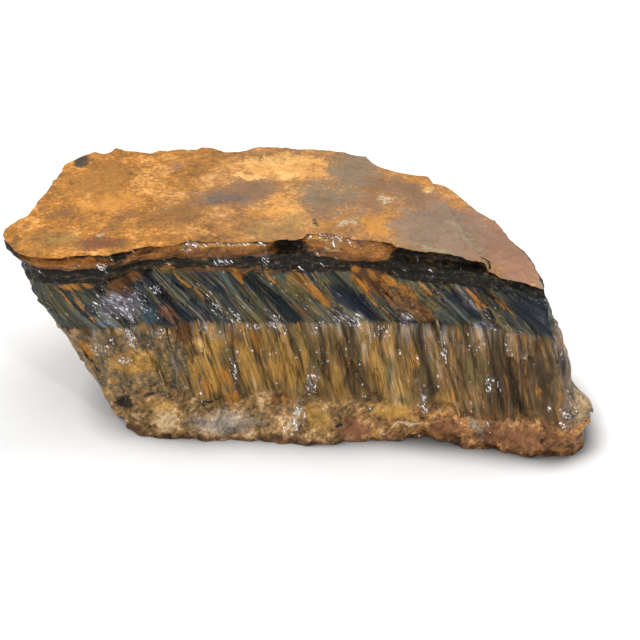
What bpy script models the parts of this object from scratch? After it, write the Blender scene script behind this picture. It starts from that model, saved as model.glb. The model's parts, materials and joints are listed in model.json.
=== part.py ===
"""Rough tiger's eye: a hand-sized slab of seam rock, modelled as one closed solid.

The slab lies on the lumpy quartz crust of its lower wall. From the foot up, its broken sides show
the crust, a band of golden fibres, a crack, a band of blue fibres that leans over to the right,
a dark ironstone seam and the thin ochre skin of the upper wall.

The model is a cube cut into a grid, whose rows are moved onto the seams of the rock. All the
sizes below are millimetres; they become metres when the mesh is written. X runs along the slab,
Y away from its broken front, Z up.
"""

import math

import bmesh
import bpy
import numpy as np
from mathutils import noise

NAME = "rough_tigers_eye"
MM = 0.001

# ---- seams of the rock, as heights above the foot -------------------------------------------
SKIN_HEIGHT = 54.0          # top of the ochre skin over the left two thirds
RIGHT_DROP = 5.0            # how far the skin has dropped at the right-hand corner
SEAM_DROP = 2.0             # how far the dark seam has dropped there
DROP_STARTS = 14.0          # where along X the drop starts
DROP_LENGTH = 50.0
DARK_SEAM = 45.5            # foot of the dark ironstone seam
CRACK = 32.3                # crack between the blue fibres and the golden fibres
CRUST = 10.0                # top of the quartz crust
CRUST_WAVES = 3.2           # how far the top of the crust goes up and down

# ---- the skin: how far its swells, plates, chips and the pit of its tip go up and down ---------
SKIN_SWELL = 0.5
RIGHT_PLATE_DROP = 2.0
BACK_FLAKE_DROP = 0.7
LEFT_PLATE_DROP = 0.35
CORNER_CHIP_DROP = 1.8
TIP_PIT_DEPTH = 1.3

# ---- quartz lumps of the crust, and fibre bundles above it -------------------------------------
LUMP_SPACING = 6.2
LUMP_HEIGHT = 1.9
BUNDLE_WIDTH = 6.0
BUNDLE_LENGTH = 20.0
BUNDLE_DEPTH = 1.1
BUNDLE_TILT = 1.5
SIDE_SWELL = 2.4            # slow swells of the broken sides
SIDE_SWELL_SIZE = 26.0
FRONT_SWELL_LESS = 1.8      # the measured front swells this much less

# ---- lean of the fibres: how far they move along -X for each millimetre up -------------------
GOLD_LEAN = 0.20
BLUE_LEAN = 1.0

# ---- outlines seen from above, anticlockwise: front, right, back, left -----------------------
SKIN_OUTLINE = (
    ((-70.0, -23.7), (-61.0, -23.5), (-50.0, -22.6), (-40.0, -18.4), (-30.0, -16.0),
     (-16.0, -15.1), (-3.0, -14.0), (4.0, -11.5), (13.0, -13.9), (25.0, -17.5), (40.0, -20.0),
     (50.0, -25.0), (56.5, -27.0), (61.0, -29.4)),
    ((61.0, -29.4), (60.3, -25.0), (59.6, -19.0), (57.8, -9.3), (53.9, -2.6), (51.0, 4.0),
     (46.0, 8.8), (41.7, 15.3), (38.3, 21.4), (32.0, 22.2), (27.2, 23.2), (20.8, 24.6), (19.4, 27.5),
     (18.0, 32.6)),
    ((18.0, 32.6), (7.2, 34.6), (-1.0, 34.8), (-12.0, 36.2), (-19.2, 33.7),
     (-29.0, 36.4), (-40.0, 36.6), (-49.4, 38.8), (-53.4, 40.8), (-56.2, 37.6), (-60.3, 37.8),
     (-66.5, 29.8)),
    ((-66.5, 29.8), (-67.3, 22.9), (-69.0, 12.2), (-70.4, 6.9), (-71.2, 1.0), (-72.8, -3.4),
     (-77.0, -7.6), (-78.2, -11.8), (-75.8, -16.9), (-73.4, -20.6), (-70.0, -23.7)),
)
FOOT_OUTLINE = (
    ((-47.0, -21.0), (-41.4, -25.4), (-32.0, -26.7), (-17.0, -27.7), (-7.0, -28.9), (1.0, -29.7),
     (12.0, -28.1), (25.0, -25.9), (36.0, -27.1), (52.0, -31.1), (65.0, -33.7), (71.2, -32.1)),
    ((71.2, -32.1), (74.2, -27.0), (73.6, -16.5), (68.5, -5.5), (60.5, 6.0), (49.5, 16.0),
     (40.0, 23.0), (32.0, 27.0)),
    ((32.0, 27.0), (19.0, 28.9), (5.0, 30.5), (-11.0, 28.5), (-27.0, 29.0), (-41.0, 24.5)),
    ((-41.0, 24.5), (-45.5, 15.5), (-47.2, 4.5), (-49.6, -6.5), (-50.0, -14.5), (-47.0, -21.0)),
)
CURVE_STEPS = 400
# y of the front along each seam: x, then foot, top of the crust, crack, foot and top of the
# dark seam, edge of the skin
FRONT_LINES = (
    (-75.0, -20.5, -23.0, -23.6, -21.0, -20.8, -20.5), (-66.0, -20.5, -24.0, -24.4, -22.4, -22.6, -23.7),
    (-50.0, -20.5, -24.4, -24.2, -22.8, -23.0, -22.6), (-45.0, -26.4, -23.3, -23.8, -18.4, -20.6, -21.2),
    (-40.0, -28.2, -22.8, -23.5, -16.5, -18.0, -18.4), (-33.0, -28.5, -23.8, -22.0, -16.4, -16.8, -18.3),
    (-29.5, -28.6, -24.2, -21.2, -16.6, -16.5, -14.6), (-20.0, -28.8, -22.7, -21.4, -17.0, -15.7, -15.2),
    (-8.0, -29.3, -23.4, -21.5, -16.8, -14.5, -14.5), (-0.5, -31.0, -23.6, -20.8, -16.2, -14.9, -14.0),
    (1.5, -31.2, -24.0, -20.8, -16.2, -15.0, -10.3), (6.0, -30.4, -25.0, -21.0, -16.6, -15.8, -10.4),
    (13.0, -29.0, -25.2, -21.8, -16.7, -18.6, -13.9), (20.0, -28.4, -26.0, -20.8, -17.0, -19.6, -15.6),
    (25.5, -29.0, -27.2, -20.6, -19.6, -20.2, -17.6), (32.0, -26.8, -28.8, -21.6, -20.9, -20.9, -18.6),
    (40.0, -31.2, -29.7, -23.0, -21.7, -21.5, -19.7), (46.0, -32.9, -30.2, -23.7, -23.2, -22.6, -22.3),
    (51.0, -33.2, -30.8, -24.3, -24.6, -22.2, -25.3), (60.0, -36.8, -34.0, -27.0, -25.8, -24.8, -28.6),
    (66.0, -35.9, -36.0, -27.5, -26.5, -25.5, -29.6), (75.0, -34.5, -34.0, -28.5, -27.0, -26.0, -29.6),
)
LINE_SEAMS = (0.0, 1.0, 2.0, 3.0, 3.55, 4.0)

# ---- the sides, from foot to skin ------------------------------------------------------------
# A seam coordinate runs from foot to skin: 0 foot, 1 top of the crust, 2 crack between the gold
# and the blue fibres, 3 foot of the dark seam, 4 skin.
# seam coordinate, how far the side stands out there
SIDE_PROFILE = (
    (0.0, 0.8), (0.12, 1.6), (0.3, 2.0), (0.6, 1.8), (0.88, 1.0), (1.0, 0.4), (1.6, 0.5),
    (1.94, 0.5), (1.99, 0.3), (2.03, 0.1), (2.12, 0.2), (2.45, 0.4), (2.90, 0.5), (2.98, 0.1),
    (3.10, -1.1), (3.46, -1.4), (3.54, 0.0), (4.0, 0.0),
)
# seam coordinate, what an open crack adds
CRACK_PROFILE = (
    (0.9, 0.0), (1.0, -1.0), (1.08, 0.0), (1.75, 0.0), (1.94, 0.7), (1.985, 0.4), (2.03, -0.9),
    (2.12, -0.4), (2.3, 0.0),
)
# turn round the slab (0 to 1 is the front), how far it swells at mid height
SIDE_BOW = (
    (0.0, 0.3), (0.10, 0.0), (0.95, 0.0), (1.1, -0.1), (1.4, 2.0), (2.0, 1.5), (2.5, 2.2),
    (3.0, 2.0), (3.6, 2.0), (3.8, 0.3), (4.0, 0.3),
)
# the front rim: x, undercut depth, undercut height, how far a ledge stands out below it
FRONT_RIM = (
    (-77.0, 1.0, 0.10, 0.3), (-63.0, 1.8, 0.12, 0.5), (-47.0, 1.6, 0.11, 0.5), (-43.0, 1.0, 0.10, 0.6),
    (-34.0, 0.6, 0.10, 0.8), (-30.0, -0.4, 0.30, 0.8), (-9.5, -0.4, 0.30, 0.8), (-6.5, 3.2, 0.36, -0.5),
    (-0.5, 3.2, 0.36, -0.5), (1.5, 0.3, 0.15, 0.3), (11.0, 0.0, 0.15, 0.6), (20.5, 0.3, 0.15, 0.3),
    (23.5, 3.4, 0.34, -0.6), (35.0, 4.0, 0.36, -0.6), (45.0, 3.0, 0.34, -0.4), (48.0, 1.6, 0.20, 0.0),
    (62.0, 1.2, 0.15, 0.0),
)
# single lumps and hollows: centre x, y, z, radius, how far they stand out
LUMPS = (
    (71.5, -28.5, 12.5, 6.5, 2.6),
    (72.0, -29.0, 10.5, 8.0, 2.8),
    (71.0, -23.0, 22.0, 9.0, 1.8),
    (72.0, -33.5, 5.0, 8.0, 0.8),
    (-62.0, -23.0, 29.0, 7.0, -1.0),
    (-49.0, -22.5, 6.0, 4.5, -2.2),
    (-55.0, -22.5, 22.0, 7.0, -0.5),
    (-70.0, -21.0, 40.0, 6.0, 2.2),
    (-57.0, -22.0, 19.0, 6.0, 0.8),
    (-25.0, -20.5, 40.0, 9.0, -1.8),
    (-35.0, -23.5, 28.0, 8.0, 1.2),
    (-23.0, -25.5, 8.5, 6.0, 1.6),
    (7.0, -28.5, 6.0, 7.0, 1.8),
    (1.0, -26.5, 12.0, 4.0, -1.4),
    (21.0, -25.5, 11.5, 4.0, -1.4),
    (49.0, -30.5, 8.0, 9.0, 1.5),
)

# ---- splinters: half lengths and half widths, in millimetres, and how many lie on the front
SPLINTER_LENGTH = (1.2, 4.2)
SPLINTER_WIDTH = (0.16, 0.42)
SPLINTERS_ON_FRONT = 0.55
SPLINTER_SEED = 11

# ---- how finely the cube is cut, and how much of that is kept ---------------------------------
ALONG = 126
ACROSS = 42
ROWS = (10, 16, 12, 14)     # rows in the crust, the gold band, the blue band and the rim
ROW_CROWDING = 0.55         # how strongly the rows crowd towards the seams
KEPT_SHARE = 0.165          # share of the triangles that is kept
RELAXING_ROUNDS = 40        # how often the inner points of the top and the foot are evened out
CENTRE = (-0.20, 2.25)      # middle of the slab's bounding box in the outlines' own numbers
FOOT_FLAT_RADIUS = 14.0     # the foot is quite flat this near the middle
RESTS_BELOW = 0.15          # what thinning leaves this near the ground is set down on it


def smooth_step(low, high, value):
    """0 below low, 1 above high and smooth in between; low may be the larger number."""
    share = np.clip((value - low) / (high - low), 0.0, 1.0)
    return share * share * (3.0 - 2.0 * share)


def from_table(table, place, column=1):
    """Reads one column of a table whose first column is the place, straight between its rows."""
    rows = np.array(table)
    return np.interp(place, rows[:, 0], rows[:, column])


def wave(points, size, shift=0.0):
    """Smooth noise from about -1 to 1 at each point, with waves about `size` across."""
    return np.array([noise.noise(point) for point in (points / size + shift).tolist()])


def cells(points, size):
    """For each point, how far it is from the middle of its cell, and where that middle is."""
    found = [noise.voronoi(point) for point in (points / size).tolist()]
    near = np.array([distances[0] for distances, _ in found])
    middles = np.array([tuple(middle[0]) for _, middle in found])
    return near, middles


def flat(x, y, level=0.0):
    return np.column_stack((x, y, np.full(len(x), level)))


def smooth_curve(points, steps=16):
    """Points at even distances along a smooth curve through the given ones."""
    given = np.array([points[0], *points, points[-1]])
    t = (np.arange(steps) / steps)[:, None]
    parts = [0.5 * (2 * b + (c - a) * t + (2 * a - 5 * b + 4 * c - d) * t ** 2
                    + (3 * b - a - 3 * c + d) * t ** 3)
             for a, b, c, d in zip(given, given[1:], given[2:], given[3:])]
    dense = np.vstack((*parts, given[-1:]))
    run = np.concatenate(([0.0], np.cumsum(np.linalg.norm(np.diff(dense, axis=0), axis=1))))
    wanted = np.linspace(0.0, run[-1], CURVE_STEPS + 1)
    return np.column_stack([np.interp(wanted, run, dense[:, axis]) for axis in range(2)])


SKIN_SIDES = np.array([smooth_curve(side) for side in SKIN_OUTLINE])
FOOT_SIDES = np.array([smooth_curve(side) for side in FOOT_OUTLINE])


def ring_points(turn, rise):
    """Points of the plain outline: turn counts the sides from 0 to 4, rise from 0 to 1."""
    side = np.floor(turn).astype(int) % 4
    place = (turn % 1.0) * CURVE_STEPS
    index = np.minimum(place.astype(int), CURVE_STEPS - 1)
    share = (place - index)[:, None]
    foot = FOOT_SIDES[side, index] * (1 - share) + FOOT_SIDES[side, index + 1] * share
    skin = SKIN_SIDES[side, index] * (1 - share) + SKIN_SIDES[side, index + 1] * share
    return foot + (skin - foot) * np.asarray(rise)[..., None]


def front_line(x, seam):
    """y of the front at x, at the given seam coordinate."""
    lines = np.array([from_table(FRONT_LINES, x, column) for column in range(1, 7)])
    place = np.interp(seam, LINE_SEAMS, range(len(LINE_SEAMS)))
    index = np.minimum(place.astype(int), len(LINE_SEAMS) - 2)
    column = np.arange(len(x))
    low, high = lines[index, column], lines[index + 1, column]
    return low + (high - low) * (place - index)


def ring_outward(turn, rise, step=0.02):
    along = ring_points((turn + step) % 4, rise) - ring_points((turn - step) % 4, rise)
    along /= np.linalg.norm(along, axis=1)[:, None]
    return np.column_stack((along[:, 1], -along[:, 0]))


def skin_height(x, y):
    """Height of the ochre skin: nearly flat, with shallow plates and chips."""
    drop = np.clip((x - DROP_STARTS) / DROP_LENGTH, 0.0, 1.1)
    ground = flat(x, y)
    height = SKIN_HEIGHT - RIGHT_DROP * drop ** 1.5
    height += SKIN_SWELL * wave(ground, 24.0) + 0.25 * wave(ground, 8.0, 7.0)
    ragged = 1.6 * wave(ground, 6.0, 3.0) + 0.6 * wave(ground, 2.2, 5.0)
    # the reddish plate at the right lies one flake lower, along a ragged line
    height -= RIGHT_PLATE_DROP * smooth_step(-0.5, 0.5, (x - 39.0) - (6.5 - y) * 0.25 + 0.6 * ragged)
    # a flake is missing along the back right edge
    height -= BACK_FLAKE_DROP * smooth_step(-0.6, 0.6, (x - 1.0) * 0.35 + (y - 21.5) + ragged)
    # shallow plate at the left, and the chipped corner behind it
    height -= LEFT_PLATE_DROP * smooth_step(-0.6, 0.6, -51.0 - x + 0.5 * (y + 6.5) + 2.0 * ragged)
    height -= CORNER_CHIP_DROP * smooth_step(0.0, 4.0, (y - 22.0) - 0.6 * (x + 61.0) + ragged)
    # the pitted pointed tip
    height -= TIP_PIT_DEPTH * np.exp(-((x + 75.0) ** 2 + (y + 13.4) ** 2) / 4.0)
    return height


def foot_height(x, y):
    """The foot is flat, with shallow hollows away from its middle."""
    away = smooth_step(FOOT_FLAT_RADIUS, FOOT_FLAT_RADIUS + 10.0, np.hypot(x - 3.0, y + 0.5))
    return 1.8 * away * np.maximum(0.0, wave(flat(x, y, 20.0), 15.0) - 0.15)


def seam_levels(x, y, skin):
    """Heights of foot, crust, crack, dark seam and skin, one row each."""
    crust = CRUST + CRUST_WAVES * wave(flat(x, y, 40.0), 10.0)
    crack = CRACK + 0.4 * wave(flat(x, y, 50.0), 14.0)
    drop = np.clip((x - DROP_STARTS) / DROP_LENGTH, 0.0, 1.1)
    dark = DARK_SEAM + 0.4 * wave(flat(x, y, 60.0), 15.0) - SEAM_DROP * drop ** 1.5
    return np.array((np.zeros(len(x)), crust, crack, dark, skin))


def front_share(turn):
    """1 on the front, falling to 0 a little way round its two corners."""
    return 1.0 - smooth_step(0.0, 0.2, np.minimum(np.maximum(turn - 1.0, 0.0), 4.0 - turn))


def rim_relief(turn, seam, plain):
    """Undercut and ledge of the rim: laid out along the front, ragged elsewhere."""
    place = flat(plain[:, 0], plain[:, 1], 70.0)
    deep = smooth_step(-0.1, 0.35, wave(place, 17.0))
    x = plain[:, 0] + 1.5 * wave(place, 5.0) + 0.5 * wave(place, 1.8)
    share = front_share(turn)
    laid_out = [from_table(FRONT_RIM, x, column) for column in (1, 2, 3)]
    elsewhere = [2.0 * deep, 0.1 + 0.25 * deep, 0.7 - 1.0 * deep]
    undercut, tall, ledge = [
        share * front + (1.0 - share) * other for front, other in zip(laid_out, elsewhere)]
    lip = 3.93 + 0.02 * wave(place, 3.0)
    under = smooth_step(lip - tall - 0.06, lip - tall, seam) * smooth_step(lip + 0.02, lip, seam)
    on_ledge = smooth_step(3.46, 3.54, seam) * smooth_step(lip - tall, lip - tall - 0.06, seam)
    return ledge * on_ledge - undercut * under


def across_fibres(points):
    """Place across the fibres, which is the same all along one fibre."""
    x, z = points[:, 0], points[:, 2]
    above_crack = np.maximum(z - CRACK, 0.0)
    return x + GOLD_LEAN * z + (BLUE_LEAN - GOLD_LEAN) * above_crack


def fibre_space(points):
    """The points with the lean of the fibres taken out, so that fibres run straight up."""
    return np.column_stack((across_fibres(points), points[:, 1], points[:, 2]))


def bundle_relief(straight, width, length, depth, tilt):
    """Splintered bundles of fibres: long cells, each broken off at its own depth and slant."""
    size = np.array((width, width, length))
    _, middles = cells(straight, size)
    own_depth = wave(middles, 0.19)
    own_tilt = wave(middles, 0.33, 9.0)
    return depth * own_depth + tilt * own_tilt * (straight[:, 0] / width - middles[:, 0])


def side_relief(seam, plain):
    """What grows out of the sides: quartz lumps, fibre bundles, ragged ironstone."""
    straight = fibre_space(plain)
    in_crust = smooth_step(1.15, 0.80, seam + 0.1 * wave(plain, 5.0))
    in_seam = smooth_step(2.92, 3.08, seam)
    crust = LUMP_HEIGHT * (0.55 - cells(plain, LUMP_SPACING)[0]) + 0.6 * wave(plain, 3.2)
    fibres = bundle_relief(straight, BUNDLE_WIDTH, BUNDLE_LENGTH, BUNDLE_DEPTH, BUNDLE_TILT)
    fibres += 0.5 * wave(straight / (2.7, 2.7, 15.0), 1.0)
    seams = 0.7 * wave(plain * (1.0, 1.0, 2.5), 5.0)
    return in_crust * crust + (1.0 - in_crust - in_seam) * fibres + in_seam * seams


def lump_relief(points):
    total = np.zeros(len(points))
    for x, y, z, radius, height in LUMPS:
        away = np.linalg.norm(points - (x, y, z), axis=1) / radius
        total += height * np.clip(1.0 - away * away, 0.0, 1.0) ** 2
    return total


def side_surface(turn, seam):
    """Points of the finished sides."""
    middle = ring_points(turn, np.full(len(turn), 0.5))
    edge = ring_points(turn, np.ones(len(turn)))
    skin = skin_height(edge[:, 0], edge[:, 1])
    levels = seam_levels(middle[:, 0], middle[:, 1], skin)
    band = np.minimum(seam.astype(int), 3)
    column = np.arange(len(turn))
    low, high = levels[band, column], levels[band + 1, column]
    level = low + (high - low) * (seam - band)
    rise = level / skin
    at = ring_points(turn, rise)
    outward = ring_outward(turn, rise)
    share = front_share(turn)
    nearest = np.where(turn < 1.0, turn, np.where(turn > 2.5, 0.0, 0.9999))
    front = ring_points(nearest, rise)
    at[:, 1] += share * (front_line(front[:, 0], seam) - front[:, 1])
    plain = np.column_stack((at, level))
    open_crack = smooth_step(-0.45, 0.5, wave(flat(middle[:, 0], middle[:, 1], 90.0), 9.0))
    stand = (1.0 - 0.9 * share) * from_table(SIDE_PROFILE, seam)
    stand += open_crack * from_table(CRACK_PROFILE, seam)
    stand += from_table(SIDE_BOW, turn) * 4.0 * rise * (1.0 - rise)
    stand += (SIDE_SWELL - FRONT_SWELL_LESS * share) * wave(plain, SIDE_SWELL_SIZE)
    stand += rim_relief(turn, seam, plain)
    stand += side_relief(seam, plain)
    stand += lump_relief(plain)
    place = at + outward * stand[:, None]
    top = seam >= 4.0
    level[top] = skin_height(place[top, 0], place[top, 1])
    level += foot_height(place[:, 0], place[:, 1]) * (1.0 - level / skin)
    return np.column_stack((place, level))


def row_seams():
    """Seam coordinate of every row of the grid, crowded towards the seams."""
    seams = [np.array([0.0])]
    for band, count in enumerate(ROWS):
        t = np.arange(1, count + 1) / count
        seams.append(band + t - ROW_CROWDING * np.sin(2 * math.pi * t) / (2 * math.pi))
    return np.concatenate(seams)


def spread_inside(edge, known):
    """Spreads the inner points of the top or the foot evenly inside their edge."""
    count_u, count_v = known.shape
    u = np.linspace(0.0, 1.0, count_u)[:, None, None]
    v = np.linspace(0.0, 1.0, count_v)[None, :, None]
    sides = ((1 - v) * edge[:, :1] + v * edge[:, -1:] + (1 - u) * edge[:1] + u * edge[-1:])
    corners = ((1 - u) * (1 - v) * edge[0, 0] + u * (1 - v) * edge[-1, 0]
               + (1 - u) * v * edge[0, -1] + u * v * edge[-1, -1])
    grid = np.where(known[..., None], edge, sides - corners)
    for _ in range(RELAXING_ROUNDS):
        grid[1:-1, 1:-1] = 0.25 * (grid[:-2, 1:-1] + grid[2:, 1:-1] + grid[1:-1, :-2]
                                   + grid[1:-1, 2:])
    return grid


def stone_points(i, j, k):
    """Where the grid points (i, j, k) of the cube go, in millimetres."""
    seams = row_seams()
    top = len(seams) - 1
    seam = seams[k]
    turn = np.select(
        [j == 0, i == ALONG, j == ACROSS, i == 0],
        [i / ALONG, 1.0 + j / ACROSS, 2.0 + (ALONG - i) / ALONG, 3.0 + (ACROSS - j) / ACROSS], -1.0)
    sides = turn >= 0.0
    points = np.zeros((len(i), 3))
    points[sides] = side_surface(turn[sides] % 4.0, seam[sides])
    for level, height in ((0, foot_height), (top, skin_height)):
        edge = np.zeros((ALONG + 1, ACROSS + 1, 2))
        known = np.zeros((ALONG + 1, ACROSS + 1), bool)
        rim = sides & (k == level)
        edge[i[rim], j[rim]] = points[rim, :2]
        known[i[rim], j[rim]] = True
        grid = spread_inside(edge, known)
        inner = ~sides & (k == level)
        place = grid[i[inner], j[inner]]
        points[inner] = np.column_stack((place, height(place[:, 0], place[:, 1])))
    return points


def build_stone():
    """A cube, cut into a grid and moved onto the stone."""
    mesh = bpy.data.meshes.new(NAME)
    grid = bmesh.new()
    bmesh.ops.create_cube(grid, size=1.0)
    counts = (ALONG, ACROSS, sum(ROWS))
    for axis, count in enumerate(counts):
        edges = [edge for edge in grid.edges
                 if abs(edge.verts[0].co[axis] - edge.verts[1].co[axis]) > 0.5]
        bmesh.ops.subdivide_edges(grid, edges=edges, cuts=count - 1, use_grid_fill=True)
    corners = np.array([vert.co for vert in grid.verts])
    i, j, k = np.rint((corners + 0.5) * counts).astype(int).T
    points = stone_points(i, j, k) - (*CENTRE, 0.0)
    for vert, point in zip(grid.verts, points * MM):
        vert.co = point
    bmesh.ops.triangulate(grid, faces=grid.faces[:])
    bmesh.ops.recalc_face_normals(grid, faces=grid.faces[:])
    grid.to_mesh(mesh)
    grid.free()
    return bpy.data.objects.new(NAME, mesh)


def stone_material():
    material = bpy.data.materials.new("tigers_eye_rock")
    material.use_nodes = True
    shader = material.node_tree.nodes["Principled BSDF"]
    shader.inputs["Base Color"].default_value = (0.30, 0.17, 0.06, 1.0)
    shader.inputs["Roughness"].default_value = 0.45
    shader.inputs["Metallic"].default_value = 0.0
    return material


def thin_out(stone):
    """Spends fewer triangles where the stone is smooth, and sets its foot down flat."""
    thin = stone.modifiers.new("thin out", "DECIMATE")
    thin.decimate_type = "COLLAPSE"
    thin.ratio = KEPT_SHARE
    thin.use_collapse_triangulate = True
    bpy.context.view_layer.objects.active = stone
    bpy.ops.object.modifier_apply(modifier=thin.name)
    for vert in stone.data.vertices:
        if vert.co.z < RESTS_BELOW * MM:
            vert.co.z = 0.0


def main():
    for old in list(bpy.data.objects):
        bpy.data.objects.remove(old, do_unlink=True)
    collection = bpy.data.collections.new("rough tigers eye")
    bpy.context.scene.collection.children.link(collection)
    stone = build_stone()
    collection.objects.link(stone)
    stone.data.materials.append(stone_material())
    thin_out(stone)


main()
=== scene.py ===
"""Rough tiger's eye: the finished surface of the stone, its splinters of fibre and the stage.

The stone is one closed mesh: a cube cut into a fine grid, whose rows follow the seams of the
rock. Sizes in this file are millimetres until a mesh is written, which is in metres.
"""

import json
import math
from types import SimpleNamespace

import bpy
import numpy as np
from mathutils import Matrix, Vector, noise

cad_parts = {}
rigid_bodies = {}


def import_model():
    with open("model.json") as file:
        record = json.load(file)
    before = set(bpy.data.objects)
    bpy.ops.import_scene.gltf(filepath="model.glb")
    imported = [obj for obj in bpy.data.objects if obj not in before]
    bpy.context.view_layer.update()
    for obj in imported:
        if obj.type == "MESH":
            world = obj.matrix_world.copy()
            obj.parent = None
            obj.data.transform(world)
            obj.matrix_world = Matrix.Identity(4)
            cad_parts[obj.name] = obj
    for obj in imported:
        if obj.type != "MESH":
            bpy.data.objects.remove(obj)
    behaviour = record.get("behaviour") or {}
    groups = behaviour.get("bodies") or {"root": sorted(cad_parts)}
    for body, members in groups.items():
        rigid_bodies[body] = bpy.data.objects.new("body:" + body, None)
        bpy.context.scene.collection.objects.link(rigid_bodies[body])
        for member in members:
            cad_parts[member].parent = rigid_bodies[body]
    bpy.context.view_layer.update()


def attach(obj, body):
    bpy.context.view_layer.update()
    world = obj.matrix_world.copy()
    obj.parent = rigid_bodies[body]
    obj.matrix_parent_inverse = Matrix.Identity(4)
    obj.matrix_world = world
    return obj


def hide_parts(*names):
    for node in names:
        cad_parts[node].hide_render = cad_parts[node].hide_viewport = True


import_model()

bl_info = {
    "name": "Rough tiger's eye",
    "version": (1, 0, 0),
    "blender": (4, 5, 0),
    "location": "3D View > Sidebar > Stone",
    "description": "Grows a slab of rough tiger's eye with its fibre bands, crust and ochre skin",
    "category": "Add Mesh",
}

NODE = "rough_tigers_eye"
MM = 0.001

# ---- outlines seen from above, anticlockwise: front, right, back, left -----------------------
SKIN_OUTLINE = (
    ((-70, -23.7), (-61, -23.5), (-50, -22.6), (-40, -18.4), (-30, -16),
     (-16, -15.1), (-3, -14), (4, -11.5), (13, -13.9), (25, -17.5), (40, -20),
     (50, -25), (56.5, -27), (61, -29.4)),
    ((61, -29.4), (60.3, -25), (59.6, -19), (57.8, -9.3), (53.9, -2.6), (51, 4),
     (46, 8.8), (41.7, 15.3), (38.3, 21.4), (32, 22.2), (27.2, 23.2), (20.8, 24.6), (19.4, 27.5),
     (18, 32.6)),
    ((18, 32.6), (7.2, 34.6), (-1, 34.8), (-12, 36.2), (-19.2, 33.7),
     (-29, 36.4), (-40, 36.6), (-49.4, 38.8), (-53.4, 40.8), (-56.2, 37.6), (-60.3, 37.8),
     (-66.5, 29.8)),
    ((-66.5, 29.8), (-67.3, 22.9), (-69, 12.2), (-70.4, 6.9), (-71.2, 1), (-72.8, -3.4),
     (-77, -7.6), (-78.2, -11.8), (-75.8, -16.9), (-73.4, -20.6), (-70, -23.7)),
)
FOOT_OUTLINE = (
    ((-47, -21), (-41.4, -25.4), (-32, -26.7), (-17, -27.7), (-7, -28.9), (1, -29.7),
     (12, -28.1), (25, -25.9), (36, -27.1), (52, -31.1), (65, -33.7), (71.2, -32.1)),
    ((71.2, -32.1), (74.2, -27), (73.6, -16.5), (68.5, -5.5), (60.5, 6), (49.5, 16),
     (40, 23), (32, 27)),
    ((32, 27), (19, 28.9), (5, 30.5), (-11, 28.5), (-27, 29), (-41, 24.5)),
    ((-41, 24.5), (-45.5, 15.5), (-47.2, 4.5), (-49.6, -6.5), (-50, -14.5), (-47, -21)),
)
CURVE_STEPS = 400
CENTRE = (-0.20, 2.25)      # middle of the slab's bounding box in the outlines' own numbers
# y of the front along each seam: x, then foot, top of the crust, crack, foot and top of the
# dark seam, edge of the skin
FRONT_LINES = (
    (-75, -20.5, -23, -23.6, -21, -20.8, -20.5), (-66, -20.5, -24, -24.4, -22.4, -22.6, -23.7),
    (-50, -20.5, -24.4, -24.2, -22.8, -23, -22.6), (-45, -26.4, -23.3, -23.8, -18.4, -20.6, -21.2),
    (-40, -28.2, -22.8, -23.5, -16.5, -18, -18.4), (-33, -28.5, -23.8, -22, -16.4, -16.8, -18.3),
    (-29.5, -28.6, -24.2, -21.2, -16.6, -16.5, -14.6), (-20, -28.8, -22.7, -21.4, -17, -15.7, -15.2),
    (-8, -29.3, -23.4, -21.5, -16.8, -14.5, -14.5), (-0.5, -31, -23.6, -20.8, -16.2, -14.9, -14),
    (1.5, -31.2, -24, -20.8, -16.2, -15, -10.3), (6, -30.4, -25, -21, -16.6, -15.8, -10.4),
    (13, -29, -25.2, -21.8, -16.7, -18.6, -13.9), (20, -28.4, -26, -20.8, -17, -19.6, -15.6),
    (25.5, -29, -27.2, -20.6, -19.6, -20.2, -17.6), (32, -26.8, -28.8, -21.6, -20.9, -20.9, -18.6),
    (40, -31.2, -29.7, -23, -21.7, -21.5, -19.7), (46, -32.9, -30.2, -23.7, -23.2, -22.6, -22.3),
    (51, -33.2, -30.8, -24.3, -24.6, -22.2, -25.3), (60, -36.8, -34, -27, -25.8, -24.8, -28.6),
    (66, -35.9, -36, -27.5, -26.5, -25.5, -29.6), (75, -34.5, -34, -28.5, -27, -26, -29.6),
)
LINE_SEAMS = (0.0, 1.0, 2.0, 3.0, 3.55, 4.0)

# ---- the sides, from foot to skin ------------------------------------------------------------
# A seam coordinate runs from foot to skin: 0 foot, 1 top of the crust, 2 crack between the gold
# and the blue fibres, 3 foot of the dark seam, 4 skin.
# seam coordinate, how far the side stands out there
SIDE_PROFILE = (
    (0.0, 0.8), (0.12, 1.6), (0.3, 2.0), (0.6, 1.8), (0.88, 1.0), (1.0, 0.4), (1.6, 0.5),
    (1.94, 0.5), (1.99, 0.3), (2.03, 0.1), (2.12, 0.2), (2.45, 0.4), (2.90, 0.5), (2.98, 0.1),
    (3.10, -1.1), (3.46, -1.4), (3.54, 0.0), (4.0, 0.0),
)
# seam coordinate, what an open crack adds
CRACK_PROFILE = (
    (0.9, 0.0), (1.0, -1.0), (1.08, 0.0), (1.75, 0.0), (1.94, 0.7), (1.985, 0.4), (2.03, -0.9),
    (2.12, -0.4), (2.3, 0.0),
)
# turn round the slab (0 to 1 is the front), how far it swells at mid height
SIDE_BOW = (
    (0.0, 0.3), (0.10, 0.0), (0.95, 0.0), (1.1, -0.1), (1.4, 2.0), (2.0, 1.5), (2.5, 2.2),
    (3.0, 2.0), (3.6, 2.0), (3.8, 0.3), (4.0, 0.3),
)
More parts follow.
